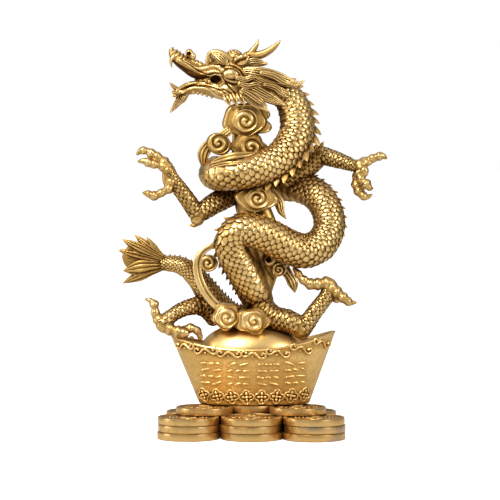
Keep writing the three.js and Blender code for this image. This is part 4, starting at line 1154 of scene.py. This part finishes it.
def stroke_layout():
    """Rows of strokes on the front of the ingot. They aren't letters."""
    rng = np.random.default_rng(7)
    strokes = []
    field = STROKE_FIELD
    for block, middle in enumerate(STROKE_BLOCKS):
        for row in range(field["rows"]):
            z = field["low"] + (field["high"] - field["low"]) * row / (field["rows"] - 1)
            count = (2, 3)[(row + block) % 2]
            for n in range(count):
                x = middle + field["wide"] * ((n + 0.5) / count - 0.5)
                length = field["wide"] / count * rng.uniform(0.62, 0.86)
                share = np.interp(z, [INGOT["foot"], rim_height(x)], [0, 1])
                shift, half_x = wall_length(share)
                turn = -math.acos(np.clip((x - shift) / half_x, -0.98, 0.98))
                facing, across, up = wall_facing(turn, share)
                heading = unit(up + rng.uniform(-0.3, 0.3) * across)
                strokes.append((wall_place(turn, share), facing, heading, [length, *STROKE_SIZE]))
    return zip(*strokes)


# Coins
def coin_shape(radius, x, y, low, high, open_face, sides=64):
    """One coin. An open face has a raised rim, a sunk field and a square hole with a frame."""
    turn = np.arange(sides) * TAU / sides
    circle = np.stack([np.cos(turn), np.sin(turn)], 1)
    square = circle / np.max(np.abs(circle), axis=1, keepdims=True)
    rings, worn = [], []

    def level(outline, reach, z, bright):
        rings.append(np.column_stack([outline * reach + [x, y], np.full(sides, z)]))
        worn.append(np.full(sides, bright))

    level(circle, radius - 0.7, low, 0.0)
    level(circle, radius - 0.15, low + 0.25, 0.3)
    level(circle, radius, low + 0.9, 0.9)
    level(circle, radius, high - 0.9, 0.9)
    level(circle, radius - 0.12, high - 0.25, 1.0)
    level(circle, radius - 0.6, high, 1.0)
    last = [x, y, high]
    if open_face:
        rim, sunk, hole, pit = COIN["rim"], COIN["sunk"], COIN["hole"], COIN["pit"]
        level(circle, radius - rim, high, 1.0)
        level(circle, radius - rim - 0.4, high - sunk, 0.1)
        level(circle, radius - rim - 1.6, high - sunk, 0.45)
        level(square, hole + 2.4, high - sunk, 0.35)
        level(square, hole + 2, high - 0.15, 0.9)
        level(square, hole + 0.4, high - 0.05, 1.0)
        level(square, hole, high - 0.5, 0.4)
        level(square, hole, high - sunk - pit, 0.0)
        last = [x, y, high - sunk - pit]
    return skin(np.array(rings), [x, y, low], last, np.array(worn))


def coin_shapes():
    parts = []
    thick = COIN["thick"]
    for stack, (x, y) in enumerate(STACKS):
        for layer in STACK_LAYERS:
            slip = COIN["slip"] * math.sin(3 * layer + 2 * stack)
            radius = COIN["radius"] + (COIN["flare"] if layer == 0 else 0)
            top = layer == STACK_LAYERS[-1]
            low = layer * thick
            parts.append(coin_shape(radius, x + slip, y + 0.4 * slip, low, (layer + 1) * thick, top))
    low = len(STACK_LAYERS) * thick
    sink = TOP_COINS["sink"]
    for x, y in TOP_COINS["places"]:
        parts.append(coin_shape(TOP_COINS["radius"], x, y, low - sink, low + thick - sink, True))
    # A core fills the middle of the base, kept dark as painted shade where it shows between the stacks
    turn = np.arange(48) * TAU / 48
    rings = [np.stack([29 * np.cos(turn), 26 * np.sin(turn), 0 * turn + z], 1) for z in (0.1, low - 1.2)]
    parts.append(skin(np.array(rings), [0, 0, 0.1], [0, 0, low - 1.2], np.full((2, 48), 0.1)))
    return parts


def coin_marks():
    """Generic strokes beside the holes of the coins that show."""
    rng = np.random.default_rng(11)
    strokes = []
    low = len(STACK_LAYERS) * COIN["thick"]
    shown = [(x, y, low) for x, y in STACKS]
    shown += [(x, y, low + COIN["thick"] - TOP_COINS["sink"]) for x, y in TOP_COINS["places"]]
    for x, y, top in shown:
        for side in range(4):
            angle = side * TAU / 4
            out = np.array([math.cos(angle), math.sin(angle)])
            along = np.array([-out[1], out[0]])
            for n in range(3):
                reach = COIN["hole"] + 4.4 + 2.3 * n
                spot = np.array([x, y]) + out * reach + along * rng.uniform(-0.6, 0.6)
                heading = out + along * rng.uniform(-0.3, 0.3)
                strokes.append(([*spot, top - COIN["sunk"] + 0.05], [0, 0, 1], [*heading, 0],
                                [5.6 * rng.uniform(0.7, 1.1), 2.2, 1.7]))
    return zip(*strokes)


# Finishes
# How much each cause adds to the dirt and painted shade; the hollow and wear values bring painted shade as
# well as patina
DIRT_AND_SHADE = {"hollow": 0.9, "unworn_and_shaded": 0.62, "blotch": 0.5, "grain": 0.35}
# The polish shows up to the first amount of dirt and painted shade, and the patina from the second one
POLISH_TO = 0.42
PATINA_FROM = 0.4
# Roughness of clean metal and of metal under full dirt and painted shade
ROUGHNESS = [0.33, 0.66]


def patina_group():
    """Brown patina and painted shade in the hollows, polish and painted light on what stands out, and fine
    casting grain.
    """
    tree = bpy.data.node_groups.new("brass_patina", "ShaderNodeTree")
    new_sockets(tree, "INPUT", {"Polished": "Color", "Brass": "Color", "Patina": "Color", "Rubbed": "Color",
                                "Depth": "Float", "Tarnish": "Float", "Grain size": "Float",
                                "Blotch size": "Float"})
    new_sockets(tree, "OUTPUT", {"Color": "Color", "Roughness": "Float", "Height": "Float"})
    linked = node_maker(tree)
    given = linked("NodeGroupInput").outputs
    coords = linked("ShaderNodeTexCoord").outputs["Object"]

    def sum_of(a, b, clamp=False):
        return linked("ShaderNodeMath", {"use_clamp": clamp}, _0=a, _1=b).outputs[0]

    def times(a, b):
        return linked("ShaderNodeMath", {"operation": "MULTIPLY"}, _0=a, _1=b).outputs[0]

    def noise(size, detail):
        return linked("ShaderNodeTexNoise", Vector=coords, Scale=given[size], Detail=detail).outputs[0]

    def value_named(name):
        return linked("ShaderNodeAttribute", {"attribute_name": name}).outputs["Fac"]

    def eased(value, low, high, **settings):
        node = linked("ShaderNodeMapRange", settings, Value=value, _1=low, _2=high)
        return node.outputs[0]

    def mixed(share, first, second):
        return linked("ShaderNodeMix", {"data_type": "RGBA"}, _0=share, _6=first, _7=second).outputs[2]

    grain, blotch = noise("Grain size", 3.0), noise("Blotch size", 4.0)
    blotched = times(sum_of(blotch, -0.5), DIRT_AND_SHADE["blotch"])
    grained = times(sum_of(grain, -0.5), DIRT_AND_SHADE["grain"])
    # Dull and shaded places: the wear values also carry painted shade and painted light
    unworn_and_shaded = linked("ShaderNodeMath", {"operation": "SUBTRACT"}, _0=1.0, _1=value_named("worn")).outputs[0]
    sunk = sum_of(times(value_named("hollow"), DIRT_AND_SHADE["hollow"]), times(unworn_and_shaded, DIRT_AND_SHADE["unworn_and_shaded"]))
    sunk = sum_of(times(sunk, given["Depth"]), given["Tarnish"])
    dirt_and_shade = sum_of(sum_of(sunk, blotched), grained, True)
    polish = eased(dirt_and_shade, 0.0, POLISH_TO, interpolation_type="SMOOTHSTEP")
    brown = eased(dirt_and_shade, PATINA_FROM, 1.0, interpolation_type="SMOOTHSTEP")
    metal = mixed(polish, given["Polished"], given["Brass"])
    bare = times(value_named("rubbed"), eased(blotch, 0.4, 0.5))
    color = mixed(bare, mixed(brown, metal, given["Patina"]), given["Rubbed"])
    rough = linked("ShaderNodeMapRange", Value=dirt_and_shade, _1=0.0, _2=1.0, _3=ROUGHNESS[0], _4=ROUGHNESS[1])
    linked("NodeGroupOutput", Color=color, Roughness=sum_of(rough.outputs[0], times(grained, 0.3)),
           Height=sum_of(grain, times(blotch, 0.6)))
    return tree


PATINA = patina_group()
RUBBED_METAL = (0.42, 0.31, 0.2)


def brass(name, polished, metal, patina, depth=1.0, bump=0.12, grain=900.0, blotch=60.0, tarnish=0.0):
    """A brass finish."""
    material = bpy.data.materials.new(name)
    material.use_nodes = True
    tree = material.node_tree
    linked = node_maker(tree)
    group = linked("ShaderNodeGroup", {"node_tree": PATINA}, Polished=(*polished, 1), Brass=(*metal, 1),
                   Patina=(*patina, 1), Rubbed=(*RUBBED_METAL, 1), Depth=depth, Tarnish=tarnish,
                   Grain_size=grain, Blotch_size=blotch).outputs
    bumped = linked("ShaderNodeBump", Strength=bump, Distance=0.0003, Height=group["Height"])
    shader = tree.nodes["Principled BSDF"].inputs
    shader["Metallic"].default_value = 1.0
    shader["Specular IOR Level"].default_value = 0.5
    for word, socket in (("Base Color", group["Color"]), ("Roughness", group["Roughness"]),
                         ("Normal", bumped.outputs["Normal"])):
        tree.links.new(socket, shader[word])
    return material


DRAGON_BRASS = brass("dragon_brass", (0.74, 0.515, 0.215), (0.49, 0.285, 0.08), (0.07, 0.028, 0.006), 1.2,
                     tarnish=0.02)
LIMB_BRASS = brass("limb_brass", (0.62, 0.425, 0.175), (0.39, 0.225, 0.06), (0.065, 0.026, 0.006), 1.1,
                   tarnish=0.14)
MANE_BRASS = brass("mane_brass", (0.68, 0.465, 0.195), (0.43, 0.247, 0.066), (0.07, 0.027, 0.005), 1.4, 0.06)
CAST_BRASS = brass("cast_brass", (0.67, 0.46, 0.19), (0.4, 0.23, 0.06), (0.07, 0.027, 0.005), 1.0, 0.1,
                   tarnish=0.2)
CLOUD_BRASS = brass("cloud_brass", (0.76, 0.53, 0.22), (0.48, 0.285, 0.077), (0.08, 0.034, 0.007), 0.95,
                    0.08, tarnish=0.14)
INGOT_BRASS = brass("ingot_brass", (0.8, 0.53, 0.2), (0.55, 0.34, 0.1), (0.12, 0.056, 0.014), 0.95, 0.1,
                    700.0, 25.0)
COIN_BRASS = brass("coin_brass", (0.65, 0.41, 0.15), (0.43, 0.25, 0.077), (0.08, 0.036, 0.01), 1.0, 0.1,
                   800.0, 35.0)

# Making the pieces: name, mesh or shapes, finish, node, and the angle from which an edge is sharp
add_piece("dragon_body", [tube(spine_line, 48, 1.0, body_relief)], DRAGON_BRASS, "dragon", 60)

SCALE = scale_tile()
scales = scale_layout(spine_line, **BODY_SCALES, skip=BELLY_HALF * 0.95, start=4,
                      stop=spine_line.run[-1] - 3.5)
add_piece("dragon_scales", scattered("dragon_scales", scales, SCALE, 3, DRAGON_BRASS, 0.1, 0.17),
          DRAGON_BRASS, "dragon", 75)
thorns = spine_layout(spine_line, THORN_PITCH, THORN_SIZE, 14, spine_line.run[-1] - 4)
add_piece("dragon_crest", scattered("dragon_crest", thorns, spine_tile(), 5, DRAGON_BRASS, 0.12, 0.12),
          DRAGON_BRASS, "dragon", 40)

head = fused("dragon_head", head_shapes(), HEAD_VOXEL, 2)
carve_head(head)
add_piece("dragon_head", head, CAST_BRASS, "dragon", 180)
add_piece("dragon_mane", mane_shapes(), MANE_BRASS, "dragon", 70)

limb_lines = {name: Line(stations, 8) for name, stations in LIMBS.items()}
claws = fused("dragon_limbs", [tube(line, 24) for line in limb_lines.values()]
              + [plump(digit) for digit in DIGITS] + [ball(at, half) for at, half in KNOBS], LIMB_VOXEL, 3)
darken_claws(claws)
add_piece("dragon_limbs", claws, LIMB_BRASS, "dragon", 180)

limb_scales = []
for seed, (name, line) in enumerate(limb_lines.items()):
    scales = scale_layout(line, **LIMB_SCALES, skip=0, start=0.5, stop=line.run[-1] - 3)
    limb_scales.append(scattered(name + "_scales", scales, SCALE, seed, LIMB_BRASS, 0.15, 0.28))
add_piece("dragon_limb_scales", joined_meshes("limb_scales", limb_scales), LIMB_BRASS, "dragon", 75)

add_piece("dragon_tail_fan", tail_shapes(), CAST_BRASS, "dragon", 70)
add_piece("dragon_flames", flame_shapes(), CAST_BRASS, "dragon", 60)
add_piece("cloud_column", cloud_shapes(), CLOUD_BRASS, "dragon", 60)

add_piece("ingot_body", ingot_shapes(), INGOT_BRASS, "ingot", 50)
ornaments = []
for side in (-1, 1):
    for word, row, tile, seed in (("scrolls", SCROLLS, scroll_tile(), 1),
                                  ("flowers", FLOWERS, flower_tile(), 2)):
        layout = wall_layout(even_turns(row, side), row["share"], row["size"])
        ornaments.append(scattered(f"{word}_{side}", layout, tile, seed, INGOT_BRASS))
ornaments.append(scattered("strokes", stroke_layout(), stroke_tile(), 3, INGOT_BRASS))
add_piece("ingot_relief", joined_meshes("ingot_relief", ornaments), INGOT_BRASS, "ingot", 60)

add_piece("coin_stacks", coin_shapes(), COIN_BRASS, "coin_base", 40)
marks = scattered("coin_marks", coin_marks(), stroke_tile(), 4, COIN_BRASS)
add_piece("coin_marks", marks, COIN_BRASS, "coin_base", 60)

# Hollows: how much metal stands round each point, counted on a grid over the whole ornament. out is how far
# from the surface the grid is read
# The hollow value darkens the finish: patina that lies in the hollows, and painted ambient-occlusion shade
# in creases and where parts crowd each other
NEAR_GRID = {"cell": 0.8, "blur": 0.8, "out": 0.9}
FAR_GRID = {"cell": 1.8, "blur": 3.6, "out": 3.5}
GRID_MARGIN = 12
HOLLOW = {"close": 0.7, "wide": 0.5, "bend": 0.4}


def crowding(cell, blur, out):
    """A function that gives how crowded it is in front of each point of a piece."""
    rng = np.random.default_rng(5)
    low = np.array(list(cad_box[0])) / MM - GRID_MARGIN
    high = np.array(list(cad_box[1])) / MM + GRID_MARGIN
    shape = np.ceil((high - low) / cell).astype(int)
    grid = np.zeros(shape.prod())
    for piece in PIECES:
        a, b, c = (piece["points"][piece["faces"][:, n]] for n in range(3))
        area = 0.5 * np.linalg.norm(np.cross(b - a, c - a), axis=1)
        count = np.clip(np.ceil(area / (0.7 * cell**2)), 1, 60).astype(int)
        pick = np.repeat(np.arange(len(area)), count)
        u, v = rng.random((2, len(pick)))
        flip = u + v > 1
        u[flip], v[flip] = 1 - u[flip], 1 - v[flip]
        spot = a[pick] + u[:, None] * (b - a)[pick] + v[:, None] * (c - a)[pick]
        index = np.clip(((spot - low) / cell).astype(int), 0, shape - 1)
        grid += np.bincount(np.ravel_multi_index(index.T, shape), (area / count)[pick], len(grid))
    grid = grid.reshape(shape)
    half = max(1, round(blur / cell))
    for axis in (0, 0, 1, 1, 2, 2):
        total = np.cumsum(grid, axis=axis)
        here = np.arange(shape[axis])
        ahead = np.take(total, np.minimum(here + half, shape[axis] - 1), axis)
        behind = np.take(total, np.maximum(here - half - 1, 0), axis)
        grid = (ahead - behind) / (2 * half + 1)

    def crowd(piece):
        cells = ((piece["points"] + piece["normals"] * out - low) / cell).round().astype(int)
        return grid[tuple(np.clip(cells, 0, shape - 1).T)]

    return crowd


def bends(points, normals, faces):
    """How far the surface bends in at each point, in 1/mm. It is below 0 on ridges."""
    a, b = faces.reshape(-1), np.roll(faces, -1, axis=1).reshape(-1)
    count = np.maximum(np.bincount(a, minlength=len(points)), 1)
    step = points[b] - points[a]
    rise = np.sum(step * normals[a], axis=1) / np.maximum(np.sum(step * step, axis=1), 0.04)
    value = np.bincount(a, np.clip(rise, -1.5, 1.5), len(points)) / count
    for _ in range(2):
        value = 0.4 * value + 0.6 * np.bincount(a, value[b], len(points)) / count
    return value


def between(values, low, high):
    return np.clip((values - low) / (high - low), 0, 1)


for piece in PIECES:
    mesh = piece["obj"].data
    piece["faces"] = triangles(mesh)
    piece["points"] = numbers(mesh, "vertices", "co", 3).astype(float) / MM
    piece["normals"] = numbers(mesh, "vertex_normals", "vector", 3)
near, far = crowding(**NEAR_GRID), crowding(**FAR_GRID)
OPEN_AIR, CROWDED = np.percentile(np.concatenate([far(piece) for piece in PIECES]), (20, 96))
for piece in PIECES:
    mesh, spots = piece["obj"].data, piece["points"]
    close = between(near(piece), *np.percentile(near(piece), (35, 97)))
    wide = between(far(piece), OPEN_AIR, CROWDED)
    bend = np.clip(bends(spots, piece["normals"], piece["faces"]) / 0.35, -0.8, 1)
    # Patina in the hollows and painted ambient-occlusion shade
    share = HOLLOW["close"] * close + HOLLOW["wide"] * wide + HOLLOW["bend"] * bend
    write_values(mesh, "hollow", np.clip(share, -0.3, 1))
    if "worn" not in mesh.attributes:
        write_values(mesh, "worn", np.ones(len(spots)))
    if piece["node"] == "coin_base":
        away = [np.linalg.norm((spots - at) / half, axis=1) for at, half in RUBBED]
        write_values(mesh, "rubbed", np.clip(2 - 1.4 * np.min(away, 0), 0, 1))
    mesh.materials.clear()
    mesh.materials.append(piece["finish"])
    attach(piece["obj"], "root")
    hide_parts(piece["node"])


# Floor, light and camera
def behind_the_camera_ray(tree, seen, met):
    """A value that is seen by the camera, and another that the metal meets."""
    linked = node_maker(tree)
    camera_ray = linked("ShaderNodeLightPath").outputs["Is Camera Ray"]
    return linked("ShaderNodeMix", _0=camera_ray, _2=met, _3=seen).outputs[0]


floor_mesh = bpy.data.meshes.new("floor")
floor_mesh.from_pydata([(-9, -4, 0), (9, -4, 0), (9, 30, 0), (-9, 30, 0)], [], [(0, 1, 2, 3)])
floor = place("floor", floor_mesh)
paper = bpy.data.materials.new("floor_paper")
paper.use_nodes = True
paper_tree = paper.node_tree
paper_shader = paper_tree.nodes["Principled BSDF"].inputs
paper_shader["Base Color"].default_value = (0.66, 0.66, 0.66, 1)
paper_shader["Roughness"].default_value = 0.8
paper_shader["Emission Color"].default_value = (1, 1, 1, 1)
paper_tree.links.new(behind_the_camera_ray(paper_tree, 0.75, 0.0), paper_shader["Emission Strength"])
floor_mesh.materials.append(paper)

world = bpy.data.worlds.new("studio")
bpy.context.scene.world = world
world.use_nodes = True
sky_tree = world.node_tree
linked = node_maker(sky_tree)
way = linked("ShaderNodeSeparateXYZ", _0=linked("ShaderNodeTexCoord").outputs["Generated"])
# The sky is dim below the horizon and brightest above the ornament
height = linked("ShaderNodeMapRange", {"interpolation_type": "SMOOTHSTEP"}, _0=way.outputs["Z"], _1=-0.1,
                _2=0.95, _3=0.07, _4=0.78)
sky = sky_tree.nodes["Background"].inputs
sky["Color"].default_value = (1, 1, 1, 1)
sky_tree.links.new(behind_the_camera_ray(sky_tree, 1.0, height.outputs[0]), sky["Strength"])


def aimed(obj, at, aim):
    obj.location = at
    obj.rotation_euler = (Vector(aim) - Vector(at)).to_track_quat("-Z", "Y").to_euler()


def soft_light(name, at, size, power):
    """A light that points at the middle of the ornament."""
    data = bpy.data.lights.new(name, "AREA")
    data.shape = "RECTANGLE"
    data.size, data.size_y = size
    data.energy = power
    aimed(place(name, data), at, (0, 0, 0.13))


soft_light("key", (-0.5, -0.8, 0.9), (0.36, 0.36), 14)
soft_light("fill", (0.8, -0.7, 0.5), (0.25, 0.4), 5)
soft_light("side", (-0.95, -0.1, 0.35), (0.25, 0.6), 3)

camera_data = bpy.data.cameras.new("camera")
camera_data.lens = 171.94
camera_data.sensor_width = 36
camera = place("camera", camera_data)
aimed(camera, (-0.00067, -1.6, 0.184), (-0.00067, 0, 0.1227))
bpy.context.scene.camera = camera
bpy.context.scene.view_settings.view_transform = "Standard"
